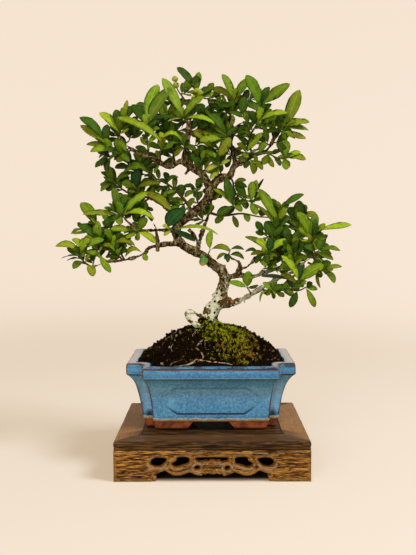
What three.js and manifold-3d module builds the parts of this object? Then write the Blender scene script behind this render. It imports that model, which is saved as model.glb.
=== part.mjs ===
// Firethorn bonsai in a blue glazed pot on a carved wooden stand.
// Millimetres, +Z up, seen from -Y. The origin is on the floor below the middle of the whole.

import * as THREE from "three";
import { mergeVertices } from "three/addons/utils/BufferGeometryUtils.js";
import Module from "manifold-3d";

const wasm = await Module();
wasm.setup();

// Driving dimensions
const CLEARANCE = 0.3;
const STAND = { width: 173, depth: 144, height: 36, board: 8.2, rail: 23, apron: 8 };
const STAND_X = 9;
const FOOT = { front: 37, side: 30 };
const POT = { width: 156, depth: 118, x: -1, y: 12, foot: 8, hollow: 31 };
const CHANNEL = { front: 15, side: 12, flare: 6 };
const DRAIN = { width: 12, x: 25, top: 14 };
const DRAIN_MESH = { side: 22, thickness: 0.8 };
const MOUND = { brim: 57, rise: 34, halfWidth: 69, halfDepth: 48, fall: 2.5, bump: 0.7, lowest: 55.5 };
const BLADE = 1.2;
const TWIG = { thick: 2, thin: 1.5 };
const BERRY = 6.2;

// Colours as seen in daylight
const COLOURS = {
  stand: 0x6b4a26,
  glaze: 0x547c94,
  soil: 0x231a0d,
  mesh: 0x2a2a2a,
  bark: 0xa2956f,
  leaf: 0x55801f,
};

// Middle lines of trunk, branches and stubs as [x, y, z, thickness], from the middle of the pot's foot
const LIMBS = {
  trunk: [
    [1, 0, 71, 15.5], [1, 0, 92, 15], [3, 0, 106, 14], [6, -1, 118, 12.5], [10, -3, 130, 11],
    [12, -4, 139, 10.5], [7, -5, 147, 9.5], [0, -6, 153, 9], [-7, -7, 159, 8.5],
    [-16, -8, 164, 8.5], [-24, -10, 168, 8.5], [-32, -12, 175, 8.5], [-35, -11, 185, 8.5],
    [-28, -7, 194, 8], [-20, -4, 200, 8], [-9, -1, 210, 8], [-3, 0, 220, 8], [0, 0, 229, 9],
  ],
  root_loop: [
    [-6, -2, 97, 5], [-12, -6, 100, 4], [-18, -9, 105, 4], [-23, -12, 108, 3.5],
    [-25, -15, 103, 3.5], [-22, -16, 97, 3.5], [-16, -14, 89, 3.5], [-14, -13, 84, 3.5],
  ],
  left_low_branch: [
    [-30, -12, 173, 7], [-42, -15, 172, 5], [-53, -18, 170, 4], [-60, -20, 168, 4],
    [-66, -22, 162, 3], [-83, -26, 157, 2.5], [-98, -29, 156, 2.4], [-108, -31, 152, 2],
    [-116, -32, 149, 1.7],
  ],
  left_middle_branch: [
    [-33, -11, 185, 5], [-45, -13, 185, 3.5], [-52, -14, 185, 3], [-68, -17, 185, 2.9],
    [-77, -20, 191, 2.7], [-83, -22, 197, 2.3],
  ],
  left_back_branch: [
    [-27, -6, 195, 4], [-42, 0, 204, 2.6], [-53, 5, 212, 2.5], [-61, 9, 216, 2.3],
    [-75, 14, 220, 2], [-86, 17, 223, 1.8],
  ],
  upper_left_branch: [
    [-3, 0, 226, 7.5], [-8, -1, 237, 7], [-18, -3, 244, 7], [-27, -5, 250, 7.5], [-35, -7, 248, 5],
    [-42, -8, 246, 5], [-51, -10, 250, 4.5], [-60, -12, 254, 4], [-75, -15, 261, 2.9],
    [-81, -17, 266, 2.1], [-87, -19, 272, 1.7],
  ],
  apex_leader: [
    [-27, -5, 249, 5.5], [-24, -9, 268, 4], [-22, -12, 282, 3.5], [-26, -15, 288, 2.5],
  ],
  upper_right_branch: [
    [-1, 0, 226, 7.5], [7, 1, 234, 7], [17, 2, 237, 6], [21, 3, 246, 5], [30, 2, 251, 5],
    [38, 1, 256, 4], [51, -2, 260, 2.9], [58, -5, 270, 2.1], [61, -8, 280, 1.7],
  ],
  back_leader: [
    [23, 3, 247, 4], [18, 7, 271, 3], [21, 9, 281, 3], [16, 11, 293, 2.2],
  ],
  middle_back_branch: [
    [-15, -7, 165, 5], [-8, 9, 188, 4], [-5, 12, 196, 3.5], [-3, 14, 203, 2.9], [-1, 15, 214, 2],
  ],
  right_middle_branch: [
    [11, -4, 138, 8], [17, 0, 140, 6.5], [28, 6, 141, 5.5], [38, 10, 139, 4.5], [50, 14, 142, 4],
    [59, 16, 145, 4], [70, 18, 150, 3], [80, 18, 160, 2.6], [89, 16, 171, 2],
  ],
  right_middle_spur: [
    [27, 5, 141, 4.5], [28, 5, 149, 4], [26, 4, 153, 2.2], [18, 2, 157, 1.6],
  ],
  right_middle_fork: [
    [29, 5, 147, 3.5], [34, 6, 149, 3], [42, 6, 157, 2.8], [46, 5, 162, 2.2],
  ],
  right_low_branch: [
    [7, -1, 112, 9], [14, -6, 114, 7], [25, -14, 117, 5.5], [35, -21, 123, 4.5],
    [46, -28, 129, 4.5], [54, -33, 135, 4], [61, -36, 138, 3.5], [73, -39, 145, 2.8],
    [85, -41, 154, 2.2], [94, -42, 160, 1.8],
  ],
  low_pruned_knob: [
    [5, -3, 115, 7], [16, -6, 120, 5],
  ],
  cut_knot: [
    [12, -5, 114, 8.5], [19, -11, 117, 6],
  ],
  spur_on_bend: [
    [10, -5, 145, 5], [14, -7, 150, 2.4],
  ],
  stub_under_fork: [
    [-21, -4, 244, 4], [-26, -8, 238, 1.9],
  ],
  brown_knot: [
    [-15, -7, 165, 2.9], [-15, -3, 176, 3.5], [-23, -5, 186, 3.5],
  ],
  dead_stick: [
    [-52, -21, 166, 3], [-52, -22, 174, 3], [-52, -23, 185, 2.8], [-55, -25, 192, 1.7],
  ],
  back_leader_spur: [
    [20, 8, 281, 2.4], [30, 4, 289, 1.4],
  ],
  left_middle_spur: [
    [-75, -19, 189, 2.3], [-78, -22, 184, 1.7],
  ],
};

// Sprays: twigs as points, leaves as [twig, place along it, direction seen from the front, length,
// width, lean to the viewer, roll, arch], and small leaves as [twig, how many, length]
const SPRAYS = {
  left_low_tip: {
    twigs: [[[-112, -31, 151], [-118, -32, 155], [-122, -34, 161], [-120, -35, 168]]],
    leaves: [
      [0, 0.75, 160, 24, 8.5, 10, 0, 0.3], [0, 0.65, 185, 18, 7.5, 0, 55, 0.1],
      [0, 0.5, 185, 14, 5.5, 0, 50, 0.1], [0, 0.4, 210, 12, 7.5, 10, 0, 0.15],
      [0, 0.8, 55, 18, 11, 20, 0, 0.1], [0, 1, 135, 13, 6.5, 0, 20, 0.2],
      [0, 0.2, 300, 13, 8, 15, 0, 0.1], [0, 0.9, 25, 26, 8.5, 20, 10, 0.1],
    ],
    fill: [],
  },
  left_low_second: {
    twigs: [[[-98, -29, 156], [-103, -30, 160], [-107, -30, 166], [-107, -29, 178], [-107, -28, 189]]],
    leaves: [
      [0, 0.65, 85, 18, 8, 10, 0, 0.08], [0, 0.65, 140, 22, 9.5, 5, 0, 0.15],
      [0, 1, 125, 27, 11.5, 10, 0, 0.1], [0, 1, 170, 12, 6.5, 0, 40, 0.1],
      [0, 0.2, 310, 20, 8.5, 15, 0, 0.1], [0, 0.6, 140, 12, 8.5, 20, 0, 0.1],
    ],
    fill: [],
  },
  left_low_third: {
    twigs: [[[-84, -26, 157], [-91, -25, 166], [-94, -23, 175]]],
    leaves: [
      [0, 0.9, 115, 15, 8, 15, 0, 0.1], [0, 0.95, 50, 13, 8, 5, 0, 0.1],
      [0, 0.7, 165, 11, 6.5, 20, 0, 0.1], [0, 0.85, 355, 21, 6.5, 0, 10, 0.35],
      [0, 0.6, 355, 13, 5.5, 0, 45, 0.15], [0, 0.25, 100, 7, 4.5, 20, 0, 0.1],
    ],
    fill: [],
  },
  left_low_fourth: {
    twigs: [[[-61, -20, 167], [-65, -24, 163]]],
    leaves: [
      [0, 1, 190, 17, 8.5, 10, 15, 0.4], [0, 1, 305, 8, 5.5, 20, 20, 0.1],
    ],
    fill: [],
  },
  left_middle_tip: {
    twigs: [[[-83, -22, 197], [-87, -23, 200], [-90, -24, 205]]],
    leaves: [
      [0, 0.45, 180, 35, 8.5, 5, 0, 0.08], [0, 1, 95, 20, 7.5, 5, 0, 0.08],
      [0, 0.7, 60, 18, 9.5, 5, 0, 0.1], [0, 0.2, 40, 34, 11, 12, 0, 0.08],
      [0, 0.15, 355, 31, 7.5, 10, 0, 0.25], [0, 0.25, 260, 9, 7, 20, 0, 0.05],
      [0, 0.35, 210, 18, 8, -10, 0, 0.1],
    ],
    fill: [],
  },
  left_middle_under: {
    twigs: [[[-67, -17, 185], [-72, -21, 183], [-78, -23, 183]]],
    leaves: [
      [0, 0.85, 170, 19, 7.5, 5, 0, 0.1], [0, 1, 180, 22, 7.5, -10, 0, 0.2],
      [0, 0.25, 60, 15, 9, 0, 0, 0.1], [0, 0.4, 330, 21, 7, 10, 0, 0.12],
    ],
    fill: [],
  },
  left_back_tip: {
    twigs: [[[-85, 17, 223], [-91, 17, 227], [-99, 18, 232]]],
    leaves: [
      [0, 1, 105, 18, 8, 0, 0, 0.1], [0, 1, 135, 15, 6, 10, 20, 0.15],
      [0, 0.9, 215, 15, 6.5, 15, 0, 0.1], [0, 0.5, 40, 15, 11, 10, 0, 0.1],
    ],
    fill: [],
  },
  left_back_rosette: {
    twigs: [[[-67, 11, 217], [-71, 5, 222], [-74, 1, 226]]],
    leaves: [
      [0, 1, 80, 18, 11.5, 15, 0, 0.05], [0, 0.95, 10, 25, 8, 10, 0, 0.15],
      [0, 0.65, 330, 38, 9.5, 12, 0, 0.08], [0, 1, 160, 14, 9, 5, 0, 0.1],
      [0, 0.8, 220, 12, 7, 10, 0, 0.1],
    ],
    fill: [],
  },
  left_slender: {
    twigs: [[[-21, -4, 204], [-30, 0, 218], [-44, 6, 230], [-61, 12, 237], [-75, 14, 242]]],
    leaves: [
      [0, 0.5, 30, 13, 6, 10, 0, 0.3], [0, 0.4, 355, 12, 7, 10, 0, 0.3],
      [0, 0.8, 165, 25, 10.5, 10, 0, 0.36], [0, 0.8, 240, 12, 8, 20, 0, 0.1],
      [0, 0.95, 160, 19, 8, 0, 0, 0.1], [0, 1, 205, 22, 8.5, 10, 0, 0.1],
    ],
    fill: [],
  },
  trunk_back_shoot: {
    twigs: [[[-12, 0, 207], [-15, 4, 215], [-16, 5, 225]]],
    leaves: [
      [0, 1, 175, 13, 7, 10, 0, 0.3], [0, 0.8, 200, 12, 6.5, 10, 0, 0.3],
      [0, 1, 50, 13, 9, 10, 0, 0.1],
    ],
    fill: [],
  },
  upper_left_tip: {
    twigs: [[[-75, -15, 261], [-81, -20, 257], [-89, -23, 257], [-96, -25, 262], [-100, -26, 267]]],
    leaves: [
      [0, 1, 135, 31, 9, 5, 0, 0.2], [0, 0.95, 145, 27, 8, 10, 0, 0.1],
      [0, 0.75, 170, 24, 7, 5, 10, 0.08], [0, 0.55, 185, 22, 9, 12, 0, 0.15],
      [0, 0.9, 85, 18, 8.5, 0, 0, 0.1], [0, 0.5, 325, 15, 7.5, 10, 0, 0.1],
    ],
    fill: [],
  },
  upper_left_second: {
    twigs: [[[-86, -18, 271], [-86, -21, 276], [-82, -21, 286]]],
    leaves: [
      [0, 0.3, 135, 26, 11.5, 10, 0, 0.06], [0, 0.45, 100, 20, 9.5, 0, 0, 0.1],
      [0, 0.85, 55, 19, 9.5, 0, 0, 0.1], [0, 1, 80, 20, 4.5, 0, 50, 0.1],
    ],
    fill: [],
  },
  upper_left_rosette: {
    twigs: [[[-60, -12, 254], [-60, -19, 264], [-61, -24, 282]]],
    leaves: [
      [0, 1, 55, 41, 15, 8, 0, 0.05], [0, 1, 75, 41, 13, -12, 0, 0.12],
      [0, 1, 125, 23, 9, 0, 0, 0.1], [0, 0.85, 155, 14, 7.5, 5, 0, 0.12],
      [0, 0.8, 15, 13, 6.5, 10, 0, 0.15],
    ],
    fill: [],
  },
  upper_left_long: {
    twigs: [[[-49, -10, 249], [-48, -23, 257], [-44, -31, 263]]],
    leaves: [
      [0, 1, 150, 49, 8.5, 6, 0, 0.1], [0, 0.75, 155, 13, 6.5, 0, 0, 0.1],
      [0, 0.65, 35, 12, 7.5, 0, 0, 0.1],
    ],
    fill: [],
  },
  upper_mid_arch: {
    twigs: [[[-25, -7, 259], [-26, -17, 263], [-28, -23, 267]]],
    leaves: [
      [0, 1, 175, 20, 8.5, 12, 0, 0.42], [0, 0.85, 190, 18, 5.5, 5, 20, 0.1],
      [0, 0.5, 225, 13, 7.5, 10, 0, 0.1], [0, 0.6, 340, 12, 7.5, 5, 0, 0.1],
    ],
    fill: [],
  },
  apex_rosette: {
    twigs: [[[-25, -15, 286], [-26, -20, 289]]],
    leaves: [
      [0, 1, 120, 41, 11, 8, 0, 0.1], [0, 1, 45, 27, 9.5, 15, 0, 0.1],
      [0, 0.8, 190, 16, 5.5, 10, 20, 0.1], [0, 0.8, 180, 33, 8, -10, 0, 0.1],
      [0, 0.75, 350, 29, 7, 5, 0, 0.2], [0, 0.85, 0, 22, 5.5, -8, 0, 0.1],
      [0, 0.75, 120, 14, 7.5, -15, 0, 0.1],
    ],
    fill: [],
  },
  top: {
    twigs: [
      [[-22, -12, 282], [-18, -6, 297], [-14, -3, 310], [-15, -2, 318]],
      [[-18, -6, 297], [-27, -4, 310], [-33, -4, 319], [-34, -4, 327]],
    ],
    berries: [[-35, -4, 328], [-34, -4, 322.5], [-14, -5, 317], [-11, -6, 315], [-16.5, -4, 310]],
    leaves: [
      [0, 1, 130, 28, 8.5, 0, 0, 0.08], [0, 1, 80, 17, 7, 5, 0, 0.08],
      [0, 0.95, 90, 15, 9.5, 10, 0, 0.1], [0, 0.8, 30, 19, 9, 10, 0, 0.15],
      [0, 0.75, 15, 14, 7, 10, 0, 0.2], [0, 0.5, 150, 13, 8, 0, 0, 0.1],
      [0, 0.45, 25, 13, 8, 0, 0, 0.1],
    ],
    fill: [],
  },
  back_leader_rosette: {
    twigs: [[[17, 11, 292], [19, 5, 300], [21, -1, 308]]],
    leaves: [
      [0, 1, 115, 27, 9.5, 8, 0, 0.12], [0, 1, 55, 25, 9.5, 5, 0, 0.12],
      [0, 0.9, 150, 25, 8.5, 8, 0, 0.15], [0, 0.8, 35, 14, 9, 5, 0, 0.1],
      [0, 0.5, 180, 27, 8, 0, 0, 0.15], [0, 0.75, 180, 11, 8, 5, 0, 0.1],
    ],
    fill: [],
  },
  inner_right_upper: {
    twigs: [[[19, 7, 271], [15, -7, 273], [10, -16, 270]]],
    leaves: [
      [0, 1, 185, 22, 9.5, 8, 0, 0.12], [0, 0.6, 130, 28, 8.5, 5, 0, 0.1],
      [0, 0.6, 145, 15, 7.5, 10, 0, 0.1], [0, 0.75, 40, 14, 7.5, 0, 0, 0.1],
    ],
    fill: [],
  },
  inner_right_lower: {
    twigs: [[[10, 1, 235], [7, -9, 243], [5, -15, 253]]],
    leaves: [
      [0, 1, 55, 22, 11.5, 12, 0, 0.06], [0, 0.9, 145, 15, 6.5, 5, 0, 0.1],
      [0, 0.65, 200, 13, 6.5, 10, 0, 0.1], [0, 0.65, 25, 12, 6.5, 10, 0, 0.1],
      [0, 0.45, 220, 13, 6, 15, 0, 0.1],
    ],
    fill: [],
  },
  top_right: {
    twigs: [
      [[38, 1, 257], [36, -7, 267], [35, -10, 279], [33, -11, 286], [28, -10, 293]],
      [[35, -9, 273], [41, -17, 282], [45, -20, 291], [45, -21, 300]],
    ],
    leaves: [
      [1, 0.95, 115, 32, 11, 5, 0, 0.1], [1, 1, 35, 33, 11, 10, 0, 0.08],
      [1, 0.85, 80, 16, 5, 5, 50, 0.1], [1, 1, 65, 20, 8.5, -10, 0, 0.1],
      [1, 0.55, 70, 14, 8.5, 20, 0, 0.1], [1, 0.45, 125, 16, 9, 10, 0, 0.1],
      [1, 0.5, 15, 29, 7.5, 15, 0, 0.2], [1, 0.65, 50, 17, 7.5, 0, 0, 0.1],
      [0, 1, 80, 17, 9.5, 5, 0, 0.08], [0, 0.9, 160, 15, 7.5, 5, 0, 0.1],
      [0, 0.75, 215, 12, 7.5, 5, 0, 0.1],
    ],
    fill: [],
  },
  right_tip: {
    twigs: [[[61, -8, 279], [65, -14, 279], [70, -18, 285]]],
    leaves: [
      [0, 1, 65, 32, 11, 10, 0, 0.08], [0, 0.6, 10, 25, 10.5, 10, 0, 0.12],
      [0, 0.5, 355, 25, 9, 5, 0, 0.15], [0, 0.45, 340, 25, 6, 0, 40, 0.12],
      [0, 0.45, 325, 16, 7, 10, 0, 0.15], [0, 0.35, 300, 12, 6, 10, 0, 0.1],
      [0, 0.35, 190, 13, 7.5, 5, 0, 0.1], [0, 0.8, 120, 14, 8, 0, 0, 0.1],
    ],
    fill: [],
  },
  right_twig: {
    twigs: [[[19, 6, 266], [27, -3, 259], [43, -9, 257], [52, -12, 257], [60, -14, 253], [68, -16, 252]]],
    leaves: [
      [0, 1, 120, 16, 8.5, 10, 0, 0.1], [0, 1, 85, 17, 7.5, 0, 0, 0.1],
      [0, 1, 20, 16, 6.5, 10, 0, 0.12], [0, 1, 355, 20, 7.5, 10, 0, 0.15],
      [0, 1, 275, 12, 8.5, 20, 0, 0.05], [0, 0.75, 240, 12, 7.5, 10, 0, 0.1],
      [0, 0.7, 295, 15, 5, 10, 50, 0.15], [0, 0.35, 135, 13, 7, 10, 0, 0.15],
      [0, 0.35, 50, 24, 8, 10, 0, 0.12], [0, 0.35, 65, 19, 7.5, 0, 20, 0.1],
      [0, 0.55, 60, 12, 7, 20, 0, 0.1],
    ],
    fill: [],
  },
  right_hanging: {
    twigs: [[[36, 1, 254], [37, -7, 251]]],
    leaves: [
      [0, 1, 280, 14, 7.5, 12, 0, 0.1], [0, 0.85, 320, 15, 8, 10, 0, 0.1],
      [0, 1, 230, 10, 7, 5, 0, 0.1],
    ],
    fill: [],
  },
  fork_twig: {
    twigs: [
      [[17, 2, 236], [20, 2, 231], [22, 3, 221], [28, 4, 216], [37, 3, 212]],
      [[22, 3, 220], [21, -5, 213], [20, -9, 207]],
    ],
    leaves: [
      [1, 1, 105, 29, 10, 5, 0, 0.06], [1, 1, 140, 26, 8, 10, 0, 0.12],
      [1, 1, 210, 18, 9, 10, 0, 0.1], [1, 0.95, 330, 10, 7, 10, 0, 0.1],
      [0, 0.85, 125, 19, 9, 5, 0, 0.1], [0, 1, 85, 20, 8.5, 10, 0, 0.06],
      [0, 1, 70, 24, 9, 0, 0, 0.2], [0, 0.95, 200, 13, 7.5, 10, 0, 0.15],
      [0, 1, 295, 14, 8, 10, 0, 0.12], [0, 1, 265, 26, 7, 8, 0, 0.15],
      [0, 1, 315, 36, 4, 5, 30, 0.15], [0, 0.2, 345, 14, 5, 10, 30, 0.3],
    ],
    fill: [],
  },
  middle_back_tip: {
    twigs: [
      [[-3, 14, 202], [10, 17, 198], [29, 15, 200], [45, 13, 197], [56, 11, 196]],
      [[-2, 15, 211], [2, 17, 218]],
    ],
    leaves: [
      [0, 0.85, 85, 9, 8, 15, 0, 0.1], [0, 0.25, 40, 14, 8, 10, 0, 0.1],
      [0, 0.25, 220, 12, 8, 10, 0, 0.1], [1, 0.55, 135, 13, 8, 0, 0, 0.1],
      [1, 0.7, 40, 12, 8, 0, 0, 0.1], [0, 0.55, 305, 10, 7, 10, 0, 0.1],
    ],
    fill: [],
  },
  trunk_front_leaf: {
    twigs: [[[-21, -7, 199], [-22, -16, 203], [-24, -19, 206]]],
    leaves: [
      [0, 0.9, 220, 26, 17, 15, 0, 0.08], [0, 0.9, 55, 12, 6.5, 10, 0, 0.1],
    ],
    fill: [],
  },
  trunk_bend_shoot: {
    twigs: [[[-34, -13, 182], [-36, -22, 184], [-39, -25, 185]]],
    leaves: [
      [0, 0.7, 355, 42, 5.5, 5, 0, 0.25], [0, 0.9, 330, 21, 8, 10, 0, 0.12],
      [0, 1, 150, 9, 5.5, 10, 0, 0.1], [0, 0.9, 215, 9, 5, 15, 0, 0.1],
    ],
    fill: [],
  },
  trunk_shoot: {
    twigs: [[[0, -7, 153], [-1, -14, 159], [-3, -18, 163]]],
    leaves: [
      [0, 1, 100, 20, 8.5, 8, 0, 0.08], [0, 0.9, 5, 21, 7.5, 10, 0, 0.32],
      [0, 0.75, 235, 15, 8, 20, 0, 0.05],
    ],
    fill: [],
  },
  spur_rosette: {
    twigs: [[[19, 2, 157], [16, -4, 161]]],
    leaves: [
      [0, 0.8, 205, 13, 6.5, 10, 0, 0.25], [0, 0.7, 250, 10, 5, 15, 30, 0.1],
      [0, 0.85, 345, 15, 8, 10, 0, 0.3], [0, 0.95, 15, 17, 7.5, 5, 0, 0.2],
      [0, 1, 125, 11, 7, 0, 0, 0.1],
    ],
    fill: [],
  },
  right_upper_rosette: {
    twigs: [[[45, 5, 161], [50, -3, 162], [54, -9, 163]]],
    leaves: [
      [0, 1, 135, 19, 9, 12, 0, 0.12], [0, 0.9, 145, 27, 7, 0, 0, 0.15],
      [0, 1, 35, 22, 9, 10, 0, 0.1], [0, 1, 85, 14, 7.5, 5, 0, 0.1],
      [0, 0.75, 185, 15, 6, 5, 0, 0.2], [0, 0.9, 260, 10, 6, 10, 0, 0.1],
      [0, 0.45, 230, 12, 6, 5, 0, 0.1],
    ],
    fill: [],
  },
  right_mass_upper: {
    twigs: [
      [[70, 18, 150], [68, 11, 164], [65, 5, 176], [65, 1, 189], [69, 0, 205]],
      [[67, 7, 169], [59, -1, 176]],
    ],
    leaves: [
      [0, 0.75, 120, 38, 10.5, 5, 0, 0.15], [0, 1, 30, 24, 9, 5, 0, 0.15],
      [1, 0.85, 115, 18, 14, 8, 0, 0.06], [0, 0.65, 45, 17, 9, 0, 0, 0.1],
      [0, 0.55, 10, 14, 8, 5, 0, 0.1], [0, 0.7, 70, 17, 9, -5, 0, 0.1],
      [1, 0.85, 45, 15, 8, 5, 0, 0.1], [0, 0.3, 170, 12, 8, 0, 0, 0.1],
      [0, 0.25, 15, 14, 8, 5, 0, 0.1],
    ],
    fill: [],
  },
  right_mass_back: {
    twigs: [[[88, 16, 170], [86, 11, 181], [84, 7, 192]]],
    leaves: [
      [0, 1, 85, 21, 12, 5, 0, 0.08], [0, 0.85, 70, 21, 11, -5, 0, 0.1],
      [0, 0.95, 120, 18, 10, -10, 0, 0.1], [0, 0.65, 160, 11, 8, 0, 0, 0.1],
      [0, 0.75, 30, 13, 8, 0, 0, 0.1], [0, 0.4, 20, 13, 8, 0, 0, 0.1],
    ],
    fill: [[0, 1, 15]],
  },
  right_low_tip: {
    twigs: [
      [[93, -42, 159], [92, -35, 169], [91, -31, 177]],
      [[92, -36, 168], [95, -39, 176], [98, -42, 182]],
      [[93, -40, 161], [99, -46, 164]],
    ],
    leaves: [
      [0, 0.95, 115, 26, 9.5, 8, 0, 0.1], [0, 1, 70, 22, 8.5, 5, 0, 0.08],
      [1, 1, 10, 31, 7, 5, 0, 0.08], [1, 0.9, 45, 11, 5.5, 10, 0, 0.1],
      [0, 0.85, 5, 16, 7.5, 5, 0, 0.3], [2, 1, 0, 19, 5.5, 5, 0, 0.15],
      [2, 1, 345, 12, 3.5, -5, 30, 0.15], [2, 0.6, 335, 17, 8, 10, 0, 0.1],
      [1, 0.25, 175, 11, 3, 20, 0, 0.1], [1, 0.65, 325, 12, 8.5, 0, 0, 0.1],
      [2, 0.5, 150, 12, 8.5, 5, 0, 0.1], [2, 0.9, 75, 11, 9, -10, 0, 0.1],
    ],
    fill: [],
  },
  right_low_middle: {
    twigs: [[[73, -39, 145], [76, -32, 154], [76, -26, 165], [73, -23, 174]]],
    leaves: [
      [0, 0.65, 50, 15, 8.5, 5, 0, 0.1], [0, 0.45, 155, 12, 8.5, 5, 0, 0.12],
      [0, 0.4, 20, 13, 8, 8, 0, 0.12], [0, 0.65, 145, 13, 8, 5, 0, 0.1],
      [0, 1, 115, 13, 8.5, 0, 0, 0.1], [0, 0.9, 55, 16, 8.5, 0, 0, 0.1],
      [0, 0.3, 340, 10, 7.5, 10, 0, 0.1], [0, 0.35, 195, 13, 7.5, 10, 0, 0.15],
    ],
    fill: [],
  },
  right_front_rosette: {
    twigs: [
      [[47, -29, 129], [59, -36, 126], [72, -43, 128], [78, -47, 131], [81, -51, 136]],
      [[74, -43, 128], [82, -43, 127], [89, -42, 130]],
    ],
    leaves: [
      [0, 1, 125, 29, 8.5, 10, 0, 0.1], [0, 1, 35, 27, 12.5, 15, 0, 0.08],
      [0, 1, 85, 15, 8, -5, 0, 0.08], [0, 0.95, 170, 34, 6, 5, 35, 0.06],
      [0, 0.95, 155, 18, 7, 10, 0, 0.1], [0, 0.8, 135, 10, 8, 15, 0, 0.1],
      [1, 0.45, 245, 17, 7, 10, 0, 0.15], [1, 0.95, 295, 20, 6, 10, 0, 0.2],
      [1, 1, 35, 7, 6.5, 10, 0, 0.1], [1, 0.95, 350, 11, 6, 10, 0, 0.1],
    ],
    fill: [],
  },
  right_front_side: {
    twigs: [[[87, -41, 155], [96, -45, 151], [103, -48, 147]]],
    leaves: [
      [0, 1, 310, 15, 8, 10, 0, 0.1], [0, 0.95, 10, 17, 4.5, 5, 20, 0.35],
      [0, 0.65, 275, 19, 3.5, 5, 40, 0.1], [0, 0.8, 30, 11, 7.5, 0, 0, 0.1],
      [0, 0.45, 245, 11, 7.5, 10, 0, 0.1],
    ],
    fill: [],
  },
  right_low_shoot: {
    twigs: [[[36, -21, 123], [35, -24, 129], [33, -26, 133]]],
    leaves: [
      [0, 0.9, 75, 14, 9, 8, 0, 0.08], [0, 0.9, 170, 17, 7, 8, 0, 0.15],
      [0, 0.65, 10, 10, 6.5, 10, 0, 0.3],
    ],
    fill: [],
  },
  right_low_under: {
    twigs: [[[55, -33, 134], [54, -38, 129]]],
    leaves: [
      [0, 1, 225, 14, 5, 10, 0, 0.25], [0, 0.85, 15, 11, 7.5, 10, 0, 0.1],
      [0, 0.85, 140, 11, 6.5, 10, 0, 0.1],
    ],
    fill: [],
  },
  upper_left_mass: {
    twigs: [[[-35, -7, 247], [-38, 0, 261], [-42, 2, 275], [-44, 2, 289]]],
    leaves: [
      [0, 0.35, 155, 13, 9, 0, 0, 0.1], [0, 0.45, 45, 14, 9, 0, 0, 0.1],
      [0, 0.65, 155, 14, 9, 0, 0, 0.1], [0, 0.7, 45, 16, 9, 0, 0, 0.1],
      [0, 0.95, 150, 15, 9, 0, 0, 0.1], [0, 1, 50, 15, 9, 0, 0, 0.1], [0, 1, 100, 18, 9, 0, 0, 0.1],
    ],
    fill: [[0, 3, 15]],
  },
  back_top: {
    twigs: [[[18, 8, 271], [7, 19, 283], [-5, 27, 293]]],
    leaves: [],
    fill: [[0, 9, 20]],
  },
  back_left: {
    twigs: [[[-61, 9, 216], [-73, 21, 211], [-86, 29, 210]]],
    leaves: [],
    fill: [[0, 9, 20]],
  },
  back_right: {
    twigs: [[[59, 17, 145], [63, 26, 158], [66, 32, 171]]],
    leaves: [],
    fill: [[0, 9, 20]],
  },
  left_low_back: {
    twigs: [[[-82, -26, 157], [-90, -12, 168], [-97, -7, 178]]],
    leaves: [],
    fill: [[0, 7, 17]],
  },
};

// A closed geometry as a solid that can be joined and cut
function solid(geometry) {
  const bare = new THREE.BufferGeometry();
  bare.setAttribute("position", geometry.getAttribute("position"));
  bare.setIndex(geometry.index);
  const merged = mergeVertices(bare, 1e-3);
  const corners = merged.index.array;
  const faces = [];
  for (let i = 0; i < corners.length; i += 3) {
    const [a, b, c] = corners.slice(i, i + 3);
    if (a !== b && b !== c && c !== a) faces.push(a, b, c);
  }
  const vertProperties = merged.attributes.position.array;
  return new wasm.Manifold(new wasm.Mesh({ numProp: 3, vertProperties, triVerts: new Uint32Array(faces) }));
}

// A solid as a mesh; only its largest body is kept, so a cut leaves no loose scraps
function piece(name, shape, look) {
  const bodies = shape.decompose().sort((a, b) => b.volume() - a.volume());
  const { vertProperties, triVerts } = bodies[0].getMesh();
  const geometry = new THREE.BufferGeometry();
  geometry.setAttribute("position", new THREE.BufferAttribute(vertProperties, 3));
  geometry.setIndex(new THREE.BufferAttribute(triVerts, 1));
  return named(name, geometry, look);
}

function named(name, geometry, look) {
  const material = new THREE.MeshStandardMaterial({ ...look, flatShading: true });
  const mesh = new THREE.Mesh(geometry, material);
  mesh.name = name;
  return mesh;
}

function joined(solids) {
  return solids.reduce((whole, next) => whole.add(next));
}

// Moves every vertex of a geometry by a rule
function reshape(geometry, rule) {
  const place = geometry.getAttribute("position");
  for (let i = 0; i < place.count; i += 1) {
    const p = rule(new THREE.Vector3().fromBufferAttribute(place, i), i);
    place.setXYZ(i, p.x, p.y, p.z);
  }
  return geometry;
}

// A steady number between 0 and 1 for each whole number
function chance(n) {
  const s = Math.sin(n * 12.9898) * 43758.5453;
  return s - Math.floor(s);
}

// Stand: a mitred frame round a floating panel, on four aprons carved through

// Moulded edge of a rail, as distance in from the edge and height above the rail's underside
const RAIL_EDGE = [
  [1.2, 0], [0.5, 0.6], [0.5, 1.8], [1.4, 2.4], [1.4, 2.8], [0.3, 3.3], [0, 4.4], [0, 6.4],
  [0.4, 7.6], [1.3, 8.2],
];

function rail(name, length) {
  const outline = RAIL_EDGE.map(([inward, up]) => new THREE.Vector2(inward, up));
  outline.push(new THREE.Vector2(STAND.rail, STAND.board), new THREE.Vector2(STAND.rail, 0));
  const section = new THREE.Shape(outline.reverse());
  const geometry = new THREE.ExtrudeGeometry(section, { depth: 1, bevelEnabled: false });
  reshape(geometry, (p) => {
    const mitred = length / 2 - CLEARANCE / 2 - p.x;
    return new THREE.Vector3((2 * p.z - 1) * mitred, p.x, p.y);
  });
  return named(name, geometry, { color: COLOURS.stand, roughness: 0.6 });
}

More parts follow.
